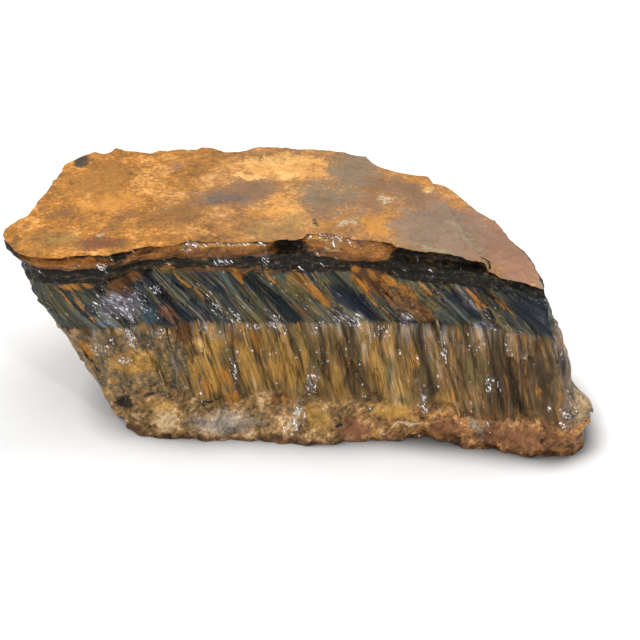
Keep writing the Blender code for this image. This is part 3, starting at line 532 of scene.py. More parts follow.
# each colour of the front: centre x, z, half width, half height, lean along the fibres, strength
FRONT_STAINS = {
    "rust_ledge": ((-61, 51.6, 13, 1.4, 0, 0.95), (-24, 51.7, 20, 2.2, 0, 0.95),
        (9.5, 51.6, 10, 2.2, 0, 0.95), (18, 51.9, 6.5, 2, 0, 0.9)),
    # black rock, and painted shade in the notch under the skin edge and in a hollow and pits of the crust
    "black_rock_and_shade": ((-4.3, 51.6, 2.8, 2.2, 0, 0.95), (-55, 49, 16, 0.8, 0, 0.8), (34, 47.5, 12, 0.8, 0, 0.7),
        (-52.1, 43.8, 1.9, 2.2, 0, 0.85), (-55.6, 22.5, 0.5, 5, 0.6, 0.8), (-41, 11.1, 1.2, 0.7, 0, 0.8),
        (-39.9, 14.2, 1, 1, 0, 0.6), (-48, 8.6, 2.4, 2.6, 0, 0.95), (-26.9, 27, 0.45, 6, 0.1, 0.7),
        (67.6, 25.4, 2.6, 6.5, 0.3, 0.6), (-24.2, 10.1, 4.6, 0.35, -0.2, 0.8),
        (9.2, 4.8, 1.8, 0.5, -0.6, 0.8), (62.5, 4.6, 0.8, 0.8, 0, 0.8)),
    "umber": ((34.8, 50.4, 11, 1.4, 0, 0.5), (50.8, 48.6, 6, 1.6, 0, 0.7), (-30, 47, 24, 0.6, 0, 0.6),
        (-50, 29, 5, 2.4, 0, 0.6), (-29.6, 24.4, 2.2, 2.2, 0.2, 0.7), (-2.7, 25.1, 0.5, 4, 0.2, 0.85),
        (15.2, 19.9, 1.5, 8, 0.2, 0.8), (33, 18, 3.6, 6, 0.2, 0.5), (64, 20, 5, 7, 0.2, 0.6)),
    # pale grey rock, and painted sheen on wet glittering spots of the bands
    "ash_and_sheen": ((-12.8, 49.4, 3.5, 0.6, 0, 0.6), (10.3, 34, 3, 1.8, 0.5, 0.55),
        (-6.9, 32, 2.2, 2.6, 0.3, 0.55), (-45, 30, 1.5, 2.6, 0, 0.6), (-34.3, 21.7, 0.9, 5, 0.2, 0.7),
        (18.5, 29.1, 2.6, 2.3, 0.2, 0.5), (-21.3, 4.4, 11, 3.2, 0, 0.75)),
    "cream": ((6.9, 51.2, 3.2, 0.6, 0, 0.6), (-31.8, 22, 0.8, 5, 0.2, 0.6), (-36.6, 4.9, 3, 2.6, 0, 0.8),
        (-2.1, 5.4, 2.2, 3.4, -0.6, 0.7), (73.5, 14, 3.4, 4.4, 0, 0.8)),
    # where painted glints crowd: white highlights painted into the colour, where the rock is also wetter
    "glint": ((-28.5, 52.6, 2, 1, 0, 0.6), (-51, 50.8, 1, 1.1, 0, 0.8), (-21, 48.1, 2.4, 1.1, 0, 0.4),
        (-9.8, 47.9, 0.8, 1.6, 0, 0.5), (-19, 53.2, 11, 0.8, 0, 0.3), (8, 53, 9, 0.8, 0, 0.3),
        (-47.2, 38.6, 5.5, 3.6, 0.3, 0.5), (-54.6, 38, 1.2, 1, 0, 0.4), (-51, 35, 2.6, 1.5, 0, 0.3),
        (-21.9, 35.5, 1.6, 2.6, 0.8, 0.45), (-17.2, 34.8, 1.2, 2, 0.8, 0.35), (10.8, 34, 3, 2.2, 0.5, 0.3),
        (13.8, 32.8, 1.6, 1.8, 0.3, 0.5), (26.8, 33.6, 1.6, 1.5, 0, 0.4), (47.3, 33.9, 2.6, 1.2, 0, 0.35),
        (-6.7, 32.2, 2, 3, 0.3, 0.5), (-45, 30, 1.5, 2.8, 0, 0.5), (-47.2, 22.4, 1.7, 1.6, 0.2, 0.6),
        (-53.2, 26.9, 2.1, 2.5, 0.2, 0.3), (-18.1, 18.1, 0.7, 5.7, 0, 0.5), (-6.4, 29.6, 0.6, 2.4, 0, 0.5),
        (2.7, 30.2, 0.9, 1.3, 0, 0.5), (2.2, 15.3, 1.2, 4, -0.2, 0.6), (31.9, 11.2, 0.8, 4.5, 0, 0.55),
        (44.6, 26.2, 1.2, 0.7, 0, 0.6), (49.1, 17.8, 1.4, 2.3, 0, 0.6), (53, 29.8, 0.7, 2.2, 0.2, 0.4),
        (57.5, 27.5, 0.7, 1.6, 0.2, 0.4), (-37, 30.5, 2.6, 1.4, 0, 0.3), (-14, 31.4, 2.4, 0.8, 0, 0.35),
        (5.5, 31.6, 3, 0.8, 0, 0.35), (20.5, 30, 2.2, 1.2, 0, 0.35), (36.5, 27, 0.7, 3, 0.2, 0.4),
        (-26.5, 30.6, 1.2, 1.6, 0.3, 0.35), (-38.5, 41.5, 1.4, 1.2, 0.5, 0.3),
        (-2.1, 5.6, 2.2, 3, -0.6, 0.35), (68.8, 12.5, 1.6, 4, 0, 0.4)),
    "rusty_fibre": ((-24, 50.3, 20, 1.3, 0, 0.9), (9.5, 50.1, 9, 1, 0, 0.85), (-22, 45.6, 18, 0.9, 0, 0.7),
        (-46, 44.4, 4.5, 1.8, 0, 0.85), (-0.4, 35.4, 1.4, 1.6, 1, 0.8), (19.5, 42.8, 5.5, 4.2, 0.6, 0.85),
        (30, 36.2, 3.2, 4.6, 0.8, 0.85), (26, 41, 4, 3.6, 0.6, 0.85), (-30.8, 29.8, 2.4, 3.2, 0.3, 0.85),
        (11, 21.7, 2.4, 1.6, 0, 0.8), (-6.4, 10, 3.3, 1.5, 0, 0.8)),
    "bright_gold": ((-20, 52.7, 14, 0.7, 0, 0.75), (6, 52.4, 5, 0.7, 0, 0.7), (31.5, 43.5, 0.8, 2, 1, 0.8),
        (4.5, 38.5, 1.6, 4.5, 1, 0.7), (1.2, 38, 0.7, 4, 1, 0.8), (-2.5, 43, 1.6, 2, 0.6, 0.7),
        (-44.5, 21.5, 7, 4, 0.2, 0.8), (-24.3, 19, 2.4, 8, 0.2, 0.8), (-6.1, 18.7, 7, 5, 0.2, 0.7),
        (-29, 21, 1.5, 6, 0.2, 0.8), (-16.5, 20, 1.5, 7, 0.2, 0.7), (-38.4, 8.5, 5.5, 1.8, 0, 0.6),
        (3.8, 6.7, 3.4, 2.9, 0, 0.85), (24, 7.9, 6.4, 2.6, 0, 0.8), (37.1, 12.7, 4.2, 2.4, 0, 0.7)),
    "red_crust": ((-61, 50.5, 12, 0.7, 0, 0.8), (-35.1, 35.9, 1.6, 2.6, 0.8, 0.75),
        (24, 38, 3, 3, 0.6, 0.7), (13.2, 3.3, 4.5, 2.6, 0, 0.9), (38.1, 4, 4.4, 2.8, 0, 0.85),
        (58, 5, 15, 4, 0, 0.75)),
    "orange_fibre": ((-17, 45.2, 3, 1, 0, 0.8), (-35, 46, 2, 0.8, 0, 0.7), (-58, 44.5, 4.6, 1, 0, 0.9),
        (-55.9, 37.7, 0.5, 5, 0.6, 0.9), (-60.5, 40.5, 0.5, 3.5, 0.8, 0.8),
        (-30.2, 41.8, 0.45, 4, 1, 0.95), (-7.4, 43.2, 0.9, 2.2, 1, 0.95), (2.6, 40.5, 2, 5, 1, 0.85),
        (15, 42.4, 1.6, 2.4, 1, 0.85), (13.8, 46.4, 1.2, 1.4, 0, 0.9), (17.2, 39, 0.7, 4.2, 1, 0.85),
        (18, 44.5, 1.2, 2, 0.6, 0.8), (33, 42, 0.4, 3, 1, 0.8), (44.2, 41.5, 0.8, 2.4, 1, 0.9),
        (46.5, 39, 1, 1, 0, 0.9), (51.4, 40, 0.9, 4.4, 1, 0.85), (22.5, 44, 2.6, 1.6, 0.3, 0.9),
        (27, 41.5, 1.6, 2.2, 0.8, 0.8), (-56.6, 26.1, 1.6, 3.3, 0.5, 0.9), (-21.4, 17, 1.8, 3.4, 0.2, 0.8),
        (-12.7, 27.9, 1.8, 4, 0.2, 0.75), (-25.5, 14.5, 1.2, 3, 0.2, 0.8),
        (29.5, 22.5, 0.7, 2.5, 0.2, 0.7), (39.5, 14.5, 0.6, 2, 0.2, 0.7), (61, 18.2, 1, 1.1, 0, 0.9),
        (-18.7, 9.8, 2.3, 2, 0, 0.75), (-5.4, 9.6, 1.2, 0.9, 0, 0.8)),
    "moss_fibre": ((-34, 45, 5, 1, 0, 0.7), (-33, 38.5, 1.2, 5, 1, 0.7), (-12.2, 34.4, 5, 1.4, 0, 0.7),
        (6.4, 42.3, 1.8, 2.2, 1, 0.7), (30.9, 40.5, 3, 4.6, 1, 0.65), (48.6, 39.5, 1.2, 3.5, 1, 0.6),
        (-1, 40, 2.2, 4, 1, 0.8), (8, 38.5, 1.4, 4.5, 1, 0.7), (-13, 39, 1.8, 5, 1, 0.6),
        (24.5, 42.5, 1, 1.4, 0.5, 0.7), (-20.3, 23.9, 1.3, 2.8, 0.1, 0.75), (3.5, 22, 2.5, 5.5, 0.2, 0.6),
        (22.3, 19.9, 2.2, 5.5, 0.2, 0.7), (26.4, 11.9, 1.6, 2.4, 0.4, 0.7),
        (44.8, 21.2, 4.6, 5.1, 0.2, 0.7), (-37.5, 20.5, 1.4, 5, 0.2, 0.7)),
    "glitter": ((-47.2, 39.1, 5.3, 3.8, 0.3, 0.9), (26.8, 33.6, 1.6, 1.5, 0, 0.7),
        (47.3, 33.8, 2.9, 1.3, 0, 0.85), (26.5, 28.4, 2.8, 3, 0.2, 0.5)),
    "navy": ((-54.8, 37.6, 2.2, 2, 0, 0.85), (-45, 34.6, 2.2, 1.2, 0, 0.8), (-4, 36.5, 2.2, 4.4, 1, 0.8),
        (-1.5, 33.6, 1.8, 1.2, 0, 0.8), (13, 37.6, 4, 5, 1, 0.9), (41.6, 39.4, 2.4, 4.9, 1, 0.9),
        (-24.8, 22.7, 0.6, 5.7, 0.33, 0.75)),
    "steel": ((-39.8, 35.5, 2.2, 2.4, 0.3, 0.85), (-51, 34.4, 2.6, 1.3, 0, 0.7),
        (-33.2, 21.7, 0.8, 4, 0.2, 0.6), (33.4, 25.4, 0.9, 3, 0.2, 0.5), (62.5, 13.8, 0.9, 1.2, 0, 0.5)),
    "deep_blue": ((59.6, 38, 6.6, 5.6, 0.8, 0.95),),
    "pale": ((27.9, 4.9, 4, 0.7, -0.25, 0.8), (45.5, 6, 2.4, 2.6, 0.5, 0.6)),
}

# colour of each stain on the skin and on the broken sides; later ones lie over earlier ones
STAIN_LAYERS = (
    ("tan", "rust_ledge"), ("orange", "rusty_fibre"), ("golden", "bright_gold"),
    ("olive", "moss_fibre"), ("brown", "umber"), ("mauve", "red_crust"), ("grey", "cream"),
    ("rust", "glitter"), ("slate", "ash_and_sheen"), ("yellow", "orange_fibre"), ("pink", "navy"),
    ("flake", "deep_blue"), ("moss", "steel"), ("pale", "pale"), ("dark", "black_rock_and_shade"), ("glint", "glint"),
)
STAIN_SETS = ("stains_a", "stains_b", "stains_c", "stains_d")
PATCH_WANDER = 3.0          # how far the edges of the skin's patches wander, in millimetres
STAIN_WANDER = 0.8          # and those of the stains in front


def stain_spot(along, across):
    """1 in the middle of an ellipse of half size 1, one half on its edge, 0 well outside."""
    return np.clip(1.0 - 0.5 * (along * along + across * across), 0.0, 1.0)


def stain_masks(points, plain, seam, turn):
    """How strongly each of the stain layers covers each point."""
    x, y, z = points.T
    masks = np.zeros((len(points), 4 * len(STAIN_SETS)))
    skin = smooth_step(3.90, 3.96, seam)
    ground = flat(x, y)
    dx = x + PATCH_WANDER * rough(ground, 9.0, 3)
    dy = y + PATCH_WANDER * rough(ground + 50.0, 9.0, 3)
    front = front_share(np.maximum(turn, 0.0)) * (turn >= 0.0) * (1.0 - skin)
    wander = STAIN_WANDER * rough(plain * (1.0, 1.0, 0.4), 4.0, 3)
    for layer, (on_skin, on_side) in enumerate(STAIN_LAYERS):
        for at_x, at_y, half_x, half_y, angle, strength in SKIN_STAINS.get(on_skin, ()):
            cos, sin = math.cos(math.radians(angle)), math.sin(math.radians(angle))
            along, across = dx - at_x, dy - at_y
            spot = strength * skin * stain_spot((along * cos + across * sin) / half_x,
                                                (across * cos - along * sin) / half_y)
            masks[:, layer] = np.maximum(masks[:, layer], spot)
        for at_x, at_z, half_x, half_z, lean, strength in FRONT_STAINS.get(on_side, ()):
            up = z - at_z
            spot = strength * front * stain_spot((x + wander - at_x + lean * up) / half_x,
                                                 (up + wander) / half_z)
            masks[:, layer] = np.maximum(masks[:, layer], spot)
    return masks


# ================================ meshes ==========================================================
def unselect_all():
    for item in bpy.context.view_layer.objects:
        item.select_set(False)


def cut_into_triangles(**settings):
    """Cuts every face of the active object into triangles."""
    bpy.ops.object.mode_set(mode="EDIT")
    bpy.ops.mesh.select_all(action="SELECT")
    bpy.ops.mesh.quads_convert_to_tris(**settings)
    bpy.ops.object.mode_set(mode="OBJECT")


def read_points(mesh):
    points = np.empty(len(mesh.vertices) * 3, np.float32)
    mesh.vertices.foreach_get("co", points)
    return points.reshape(-1, 3).astype(float)


def write_points(mesh, points):
    """Writes points, given in the outlines' own millimetres, to a mesh in metres."""
    centred = points - (*CENTRE, 0.0)
    mesh.vertices.foreach_set("co", (centred * MM).astype(np.float32).ravel())
    mesh.update()


def write_attribute(mesh, name, kind, values):
    field = {"FLOAT": "value", "FLOAT_VECTOR": "vector", "FLOAT_COLOR": "color"}[kind]
    attribute = mesh.attributes.new(name, kind, "POINT")
    attribute.data.foreach_set(field, np.asarray(values, np.float32).ravel())


def write_rock_attributes(shape, mesh, points, plain, seam, turn, relief):
    """What the rock's material reads: seam, fibre space, relief and stains."""
    write_attribute(mesh, "seam", "FLOAT", seam)
    write_attribute(mesh, "straight", "FLOAT_VECTOR", grain_space(shape, plain, turn))
    write_attribute(mesh, "relief", "FLOAT", relief)
    masks = stain_masks(points, plain, seam, turn)
    for number, name in enumerate(STAIN_SETS):
        write_attribute(mesh, name, "FLOAT_COLOR", masks[:, 4 * number:4 * number + 4])


def cut_cube(name):
    """A cube of size 1, cut along X, Y and Z as finely as the stone needs."""
    unselect_all()
    bpy.ops.mesh.primitive_cube_add(size=1.0, location=(0.0, 0.0, 0.0))
    cube = bpy.context.active_object
    cube.name = cube.data.name = name
    bpy.context.tool_settings.mesh_select_mode = (False, True, False)
    passes = [(axis, parts) for axis, count in enumerate((ALONG, ACROSS, sum(ROWS)))
              for parts in (CUTS_FIRST, count // CUTS_FIRST)]
    for axis, parts in passes:
        points = read_points(cube.data)
        pairs = np.empty(len(cube.data.edges) * 2, np.int32)
        cube.data.edges.foreach_get("vertices", pairs)
        pairs = pairs.reshape(-1, 2)
        chosen = np.abs(points[pairs[:, 0], axis] - points[pairs[:, 1], axis]) > 1e-5
        cube.data.polygons.foreach_set("select", np.zeros(len(cube.data.polygons), bool))
        cube.data.vertices.foreach_set("select", np.zeros(len(cube.data.vertices), bool))
        cube.data.edges.foreach_set("select", chosen)
        bpy.ops.object.mode_set(mode="EDIT")
        bpy.ops.mesh.subdivide(number_cuts=parts - 1, quadcorner="INNERVERT")
        bpy.ops.object.mode_set(mode="OBJECT")
    return cube


def repeat_mesh(name, template, centres, axes, sizes):
    """Makes one mesh of many copies of a template, and returns it with all its points.

    axes (n, 3, 3) and sizes (n, 3) place each copy; everything is in the outlines' millimetres.
    """
    corners = read_points(template.data)
    faces = np.array([list(face.vertices) for face in template.data.polygons])
    placed = np.einsum("mk,nk,nkc->nmc", corners, sizes, axes) + centres[:, None, :]
    points = placed.reshape(-1, 3)
    ids = (faces[None] + (np.arange(len(centres)) * len(corners))[:, None, None]).reshape(-1, 3)
    mesh = template.data
    mesh.clear_geometry()
    mesh.vertices.add(len(points))
    mesh.loops.add(ids.size)
    mesh.loops.foreach_set("vertex_index", ids.astype(np.int32).ravel())
    mesh.polygons.add(len(ids))
    mesh.polygons.foreach_set("loop_start", np.arange(0, ids.size, 3, dtype=np.int32))
    mesh.update(calc_edges=True)
    write_points(mesh, points)
    template.name = mesh.name = name
    return template, points


def unit(vectors):
    return vectors / np.linalg.norm(vectors, axis=1)[:, None]


def surface_frames(shape, turn, seam, tilt, rng):
    """Points of the sides, and the ways across, out and along the fibre at each."""
    points, plain, outward = side_surface(shape, turn, seam)
    lean = np.where(plain[:, 2] > shape.crack, shape.blue_lean, shape.gold_lean)
    tangent = np.column_stack((-outward[:, 1], outward[:, 0], np.zeros(len(turn))))
    _, low, _ = side_surface(shape, turn, np.maximum(seam - 0.05, 0.0))
    _, high, _ = side_surface(shape, turn, np.minimum(seam + 0.05, 3.99))
    climb = (high - low) / (high - low)[:, 2:]
    faces_front = np.abs(tangent[:, 0]) > 0.6
    shift = np.where(faces_front, (-lean - climb[:, 0]) / np.where(faces_front, tangent[:, 0], 1.0), 0.0)
    along = unit(climb + shift[:, None] * tangent)
    out = unit(np.cross(tangent, along))
    out *= np.sign((out[:, :2] * outward).sum(1))[:, None]
    along = unit(along + tilt * rng.normal(size=(len(turn), 1)) * out
                 + tilt * rng.normal(size=(len(turn), 1)) * tangent)
    out = unit(out - (out * along).sum(1)[:, None] * along)
    return points, np.stack((np.cross(out, along), out, along), axis=1)


# ================================ shader recipes ==================================================
class Value:
    """A number or colour in a recipe; Python's operators on numbers add Math nodes."""

    def __init__(self, recipe, socket):
        self.recipe = recipe
        self.socket = socket

    def _math(self, operation, first, second):
        return self.recipe.add("ShaderNodeMath", {"operation": operation}, {0: first, 1: second})

    def __add__(self, other):
        return self._math("ADD", self, other)

    def __sub__(self, other):
        return self._math("SUBTRACT", self, other)

    def __rsub__(self, other):
        return self._math("SUBTRACT", other, self)

    def __mul__(self, other):
        return self._math("MULTIPLY", self, other)

    __radd__ = __add__
    __rmul__ = __mul__


class Recipe:
    """Builds one material's nodes."""

    def __init__(self, name):
        self.material = bpy.data.materials.new(name)
        self.material.use_nodes = True
        self.nodes = self.material.node_tree.nodes
        self.links = self.material.node_tree.links
        self.shader = self.nodes["Principled BSDF"]

    def add(self, kind, settings, inputs, output=0):
        """Adds a node: its settings first, then the values or links of its sockets."""
        node = self.nodes.new(kind)
        stops = settings.pop("stops", None)
        for name, value in settings.items():
            setattr(node, name, value)
        if stops:
            ramp = node.color_ramp
            while len(ramp.elements) < len(stops):
                ramp.elements.new(0.5)
            for element, (place, colour) in zip(ramp.elements, stops):
                element.position = place
                element.color = (*colour[:3], 1.0)
        for key, value in inputs.items():
            self.feed(node.inputs[key], value)
        return Value(self, node.outputs[output])

    def feed(self, socket, value):
        if isinstance(value, Value):
            self.links.new(value.socket, socket)
        else:
            socket.default_value = value

    def attribute(self, name, output="Fac"):
        return self.add("ShaderNodeAttribute", {"attribute_name": name}, {}, output)

    def scaled(self, vector, scale):
        return self.add("ShaderNodeVectorMath", {"operation": "MULTIPLY"}, {0: vector, 1: scale})

    def moved(self, vector, by, operation="ADD"):
        return self.add("ShaderNodeVectorMath", {"operation": operation}, {0: vector, 1: by})

    def noise(self, vector, scale, detail=2.0, roughness=0.5, output=0):
        inputs = {"Vector": self.scaled(vector, scale), "Scale": 1.0, "Detail": detail,
                  "Roughness": roughness}
        return self.add("ShaderNodeTexNoise", {}, inputs, output)

    def cells(self, vector, scale, output="Distance", feature="F1"):
        return self.add("ShaderNodeTexVoronoi", {"feature": feature},
                        {"Vector": self.scaled(vector, scale), "Scale": 1.0}, output)

    def split(self, colour):
        """The three channels of a colour."""
        node = self.add("ShaderNodeSeparateColor", {}, {0: colour}).socket.node
        return [Value(self, output) for output in node.outputs]

    def ramp(self, value, stops):
        return self.add("ShaderNodeValToRGB", {"stops": stops}, {0: value})

    def step(self, value, low, high):
        inputs = {"Value": value, "From Min": low, "From Max": high, "To Min": 0.0, "To Max": 1.0}
        return self.add("ShaderNodeMapRange", {"interpolation_type": "SMOOTHSTEP"}, inputs)

    def mix(self, share, first, second, blend="MIX"):
        return self.add("ShaderNodeMix", {"data_type": "RGBA", "blend_type": blend},
                        {0: share, 6: first, 7: second}, 2)

    def finish(self, **inputs):
        for name, value in inputs.items():
            self.feed(self.shader.inputs[name.replace("_", " ")], value)
        return self.material


def rgb(colour):
    return (*colour[:3], 1.0)


# ================================ the rock's material =============================================
ROCK_FINISH = "tigers_eye_rock_finish"
ROCK_GLOSS = 0.8
# where one zone gives way to the next, in seam coordinates
CRUST_TOP = (0.88, 1.16)
FIBRE_FOOT = (0.9, 1.1)
CRACK_EDGE = (1.965, 2.035)
RIM_EDGE = (2.95, 3.01)
SKIN_EDGE = (3.925, 3.955)
# each noise: the space it is laid in, scale per millimetre, detail, roughness
NOISES = {
    "fold": ("straight", (0.20, 0.20, 0.030), 2.0, 0.5),
    "streak": ("straight", (0.85, 0.85, 0.070), 4.0, 0.62),
    "hair": ("straight", (3.6, 3.6, 0.20), 3.0, 0.6),
    "patch": ("straight", (0.14, 0.14, 0.07), 4.0, 0.5),
    "thin_line": ("straight", (1.5, 1.5, 0.022), 1.0, 0.5),
    "cluster": ("straight", (0.45, 0.45, 0.16), 2.0, 0.5),
    "layer": ("place", (0.20, 0.20, 1.5), 4.0, 0.65),
    "sheaf": ("diagonal", (0.16, 0.6, 1.3), 3.0, 0.6),
    "fine": ("place", (0.9, 0.9, 0.9), 5.0, 0.74),
    "middling": ("place", (0.28, 0.28, 0.28), 4.0, 0.65),
    "cloud": ("place", (0.09, 0.09, 0.09), 5.0, 0.60),
    "speck": ("place", (3.4, 3.4, 3.4), 2.0, 0.6),
}
# noises of which each channel is used by itself
COLOUR_NOISES = {
    "strand_tinges": ("straight", (0.9, 0.9, 0.12), 3.0, 0.6),
    "grain_tinges": ("place", (0.5, 0.5, 0.5), 4.0, 0.7),
    "specks": ("place", (1.1, 1.1, 1.1), 5.0, 0.75),
    "layers": ("place", (0.35, 0.35, 1.6), 4.0, 0.7),
    "strands": ("straight", (1.3, 1.3, 0.10), 4.0, 0.66),
    "jitter": ("place", (1.8, 1.8, 1.8), 2.0, 0.6),
}


def rock_noises(r):
    """The spaces, zones and noises that the rock's material is made from."""
    n = SimpleNamespace()
    n.place = r.scaled(r.add("ShaderNodeTexCoord", {}, {}, "Object"), (1.0 / MM,) * 3)
    n.seam = r.attribute("seam")
    n.relief = r.attribute("relief")
    n.skin = r.step(n.seam, *SKIN_EDGE)
    n.side = 1.0 - n.skin
    straight = r.attribute("straight", "Vector")
    wander = r.noise(straight, (0.09, 0.09, 0.05), 1.0, output="Color")
    wander = r.moved(wander, (0.5, 0.5, 0.5), "SUBTRACT")
    n.straight = r.moved(straight, r.scaled(wander, (5.0, 5.0, 0.0)))
    n.diagonal = r.add("ShaderNodeVectorRotate", {"rotation_type": "Y_AXIS"},
                       {0: r.moved(n.place, r.scaled(wander, (0.0, 0.0, 9.0))), 3: 0.65})
    for table, output in ((NOISES, 0), (COLOUR_NOISES, "Color")):
        for name, (space, *settings) in table.items():
            setattr(n, name, r.noise(getattr(n, space), *settings, output))
    n.strand_tinges = r.split(n.strand_tinges)
    n.grain_tinges = r.split(n.grain_tinges)
    n.slat, n.slat_other, _ = r.split(r.cells(n.straight, (0.30, 0.30, 0.030), "Color"))
    n.groove = r.cells(n.straight, (0.17, 0.17, 0.022), feature="DISTANCE_TO_EDGE")
    n.fine_groove = r.cells(n.straight, (0.42, 0.42, 0.040), feature="DISTANCE_TO_EDGE")
    # place in tenths of a metre, which suits the ramps
    n.along, n.depth, n.level = r.split(r.scaled(n.place, (0.01, 0.01, 0.01)))
    return n


def rock_zones(r, n):
    """Where the rock is grainy instead of fibrous, and how light each zone is."""
    grainy_gold = r.step(n.along + (n.fold - 0.5) * 0.3 + (n.middling - 0.5) * 0.2, -0.28, -0.37)
    grainy_gold = grainy_gold * r.step(n.seam, 2.0, 1.9) * r.step(
        n.depth + (n.middling - 0.5) * 0.3, 0.06, -0.06)
    n.on_lump = r.step(n.along, 0.66, 0.71) * r.step(n.level, 0.24, 0.19) * n.side
    ragged_along = n.along + (n.middling - 0.5) * 0.15
    n.jumble = r.step(ragged_along, 0.19, 0.23) * r.step(ragged_along, 0.37, 0.32) * r.step(
        n.seam, 2.0, 2.1) * r.step(n.seam, 3.0, 2.93)
    n.grainy = r.mix(n.jumble, r.mix(n.on_lump, grainy_gold, n.on_lump), n.jumble)
    strength = r.step(n.cloud, 0.38, 0.62) * 0.9 + 0.45
    fibre_light = (n.fold - 0.5) * 1.8 + (n.streak - 0.5) * strength + (n.hair - 0.5) * 0.35 + 0.48
    grain_light = (n.middling - 0.5) * 1.4 + (n.fine - 0.5) * 1.5 + 0.44
    n.fibre_light = r.mix(n.grainy, fibre_light, grain_light)
    n.crust_light = (n.middling - 0.5) * 1.6 + (n.sheaf - 0.5) * 0.8 + (n.fine - 0.5) * 1.4 + 0.46
    n.rim_light = (n.layer - 0.5) * 1.4 + (n.fine - 0.5) * 1.8 + 0.37
    n.skin_light = (n.cloud - 0.5) * 1.3 + (n.middling - 0.5) * 1.2 + (n.fine - 0.5) * 1.6 + 0.5
    wobble = (n.streak - 0.5) * 0.32 + (n.slat_other - 0.5) * 0.06
    n.height = n.seam + wobble
    n.in_rim = r.step(n.seam + wobble * 0.3, *RIM_EDGE)


def tinged(r, colour, noises, low, high, share, tints):
    """Lays each tint where its own noise is high."""
    for noise_value, tint in zip(noises, tints):
        colour = r.mix(r.step(noise_value, low, high) * share, colour, rgb(tint))
    return colour


def gold_fibres(r, n, c):
    gold = r.ramp(n.fibre_light, [
        (0.16, c.umber), (0.36, c.brown_fibre), (0.52, c.gold_fibre), (0.70, c.bright_gold),
        (0.92, c.straw)])
    gold = r.mix(r.step(n.patch, 0.52, 0.66) * 0.5, gold, rgb(c.moss_fibre))
    browner = r.step(n.along + (n.fold - 0.5) * 0.5, 0.10, 0.55)
    browns = r.ramp(n.fibre_light, [
        (0.18, c.umber), (0.38, c.brown_band), (0.60, c.mauve_band), (0.80, c.olive_band),
        (0.98, c.pale_band)])
    gold = r.mix(browner * 0.85, gold, browns)
    gold = r.mix(n.grainy * 0.2, gold, rgb(c.steel))
    noises = [r.mix(n.grainy, strand, grain) for strand, grain in zip(n.strand_tinges, n.grain_tinges)]
    return tinged(r, gold, noises, 0.55, 0.64, 0.6, (c.moss_fibre, c.orange_fibre, c.mauve_band))


def blue_fibres(r, n, c):
    tone = (n.slat - 0.5) * 0.55 + (n.streak - 0.5) * 0.7 + (n.hair - 0.5) * 0.4 + 0.5
    blue = r.ramp(tone, [(0.22, c.navy), (0.42, c.slate_blue), (0.60, c.teal), (0.78, c.moss_fibre)])
    blue = tinged(r, blue, n.strand_tinges, 0.57, 0.68, 0.45, (c.moss_fibre, c.rusty_fibre, c.steel))
    return r.mix(r.step(n.thin_line, 0.60, 0.68) * 0.8, blue, rgb(c.line))


def quartz_crust(r, n, c):
    crust = r.ramp(n.crust_light, [
        (0.10, c.umber), (0.32, c.brown_fibre), (0.54, c.crust), (0.88, c.cream)])
    redder = r.step(n.along + (n.middling - 0.5) * 0.7, 0.02, 0.42)
    reds = r.ramp(n.crust_light, [
        (0.10, c.foot_line), (0.36, c.red_crust), (0.62, c.tan), (0.90, c.cream)])
    crust = r.mix(redder * 0.9, crust, reds)
    return tinged(r, crust, n.grain_tinges, 0.56, 0.66, 0.5, (c.bright_gold, c.red_crust, c.cream))


def bare_rock(r, n, c):
    """The rock's own colours, zone by zone from the foot to the skin."""
    sides = r.mix(r.step(n.height, *CRUST_TOP), quartz_crust(r, n, c), gold_fibres(r, n, c))
    sides = r.mix(r.step(n.height, *CRACK_EDGE), sides, blue_fibres(r, n, c))
    dark = r.ramp(n.rim_light, [
        (0.22, c.black_rock_and_shade), (0.50, c.dark_seam), (0.76, c.umber), (0.98, c.ash_and_sheen)])
    sides = r.mix(n.in_rim, sides, dark)
    skin = r.ramp(n.skin_light, [
        (0.18, c.brown), (0.36, c.tan), (0.52, c.ochre), (0.68, c.orange), (0.86, c.golden)])
    dusty = r.step(n.along + (n.cloud - 0.5) * 0.8, -0.42, -0.10) * 0.34 + (n.grain_tinges[1] - 0.5) * 0.5
    skin = r.mix(dusty, skin, rgb(c.dust))
    rock = r.mix(n.skin, sides, skin)
    # painted sheen: pale grey just below the crack, where the upper edge of the golden band catches the
    # light
    crack_sheen = r.step(n.seam + (n.slat_other - 0.5) * 0.25, 1.82, 1.99) * r.step(n.seam, 2.02, 2.0)
    rock = r.mix(crack_sheen * r.step(n.streak, 0.42, 0.62) * 0.6, rock, rgb(c.ash_and_sheen))
    foot_line = r.step(n.seam + (n.middling - 0.5) * 0.5, 0.22, 0.04) * n.side
    return r.mix(foot_line * 0.8, rock, rgb(c.foot_line))


def stained(r, n, c, rock):
    """Stains, each with its own ragged edge."""
    below = r.mix(r.step(n.height, *CRUST_TOP), n.specks, n.strands)
    on_sides = r.mix(n.in_rim, r.mix(n.grainy, below, n.specks), n.layers)
    ragged = r.split(r.mix(n.skin, on_sides, n.specks))
    masks = []
    for name in STAIN_SETS:
        masks += [*r.split(r.attribute(name, "Color")), r.attribute(name, "Alpha")]
    for number, (on_skin, on_side) in enumerate(STAIN_LAYERS[:-1]):
        mask = masks[number] + (ragged[number % 3] - 0.5) * (n.skin * 0.6 + 1.5)
        mask = mask + (n.middling - 0.5) * n.skin
        cover = r.step(mask, 0.30, 0.72) * r.step(masks[number], 0.02, 0.14)
        tint = r.mix(n.skin, rgb(getattr(c, on_side)), rgb(getattr(c, on_skin)))
        rock = r.mix(cover * 0.94, rock, tint)
    n.glint_mask = masks[-1]
    for noise_value, tint in zip(n.grain_tinges, (c.moss_fibre, c.orange_fibre, c.black_rock_and_shade)):
        rock = r.mix(r.step(noise_value, 0.54, 0.60) * n.jumble * 0.6, rock, rgb(tint))
    return rock


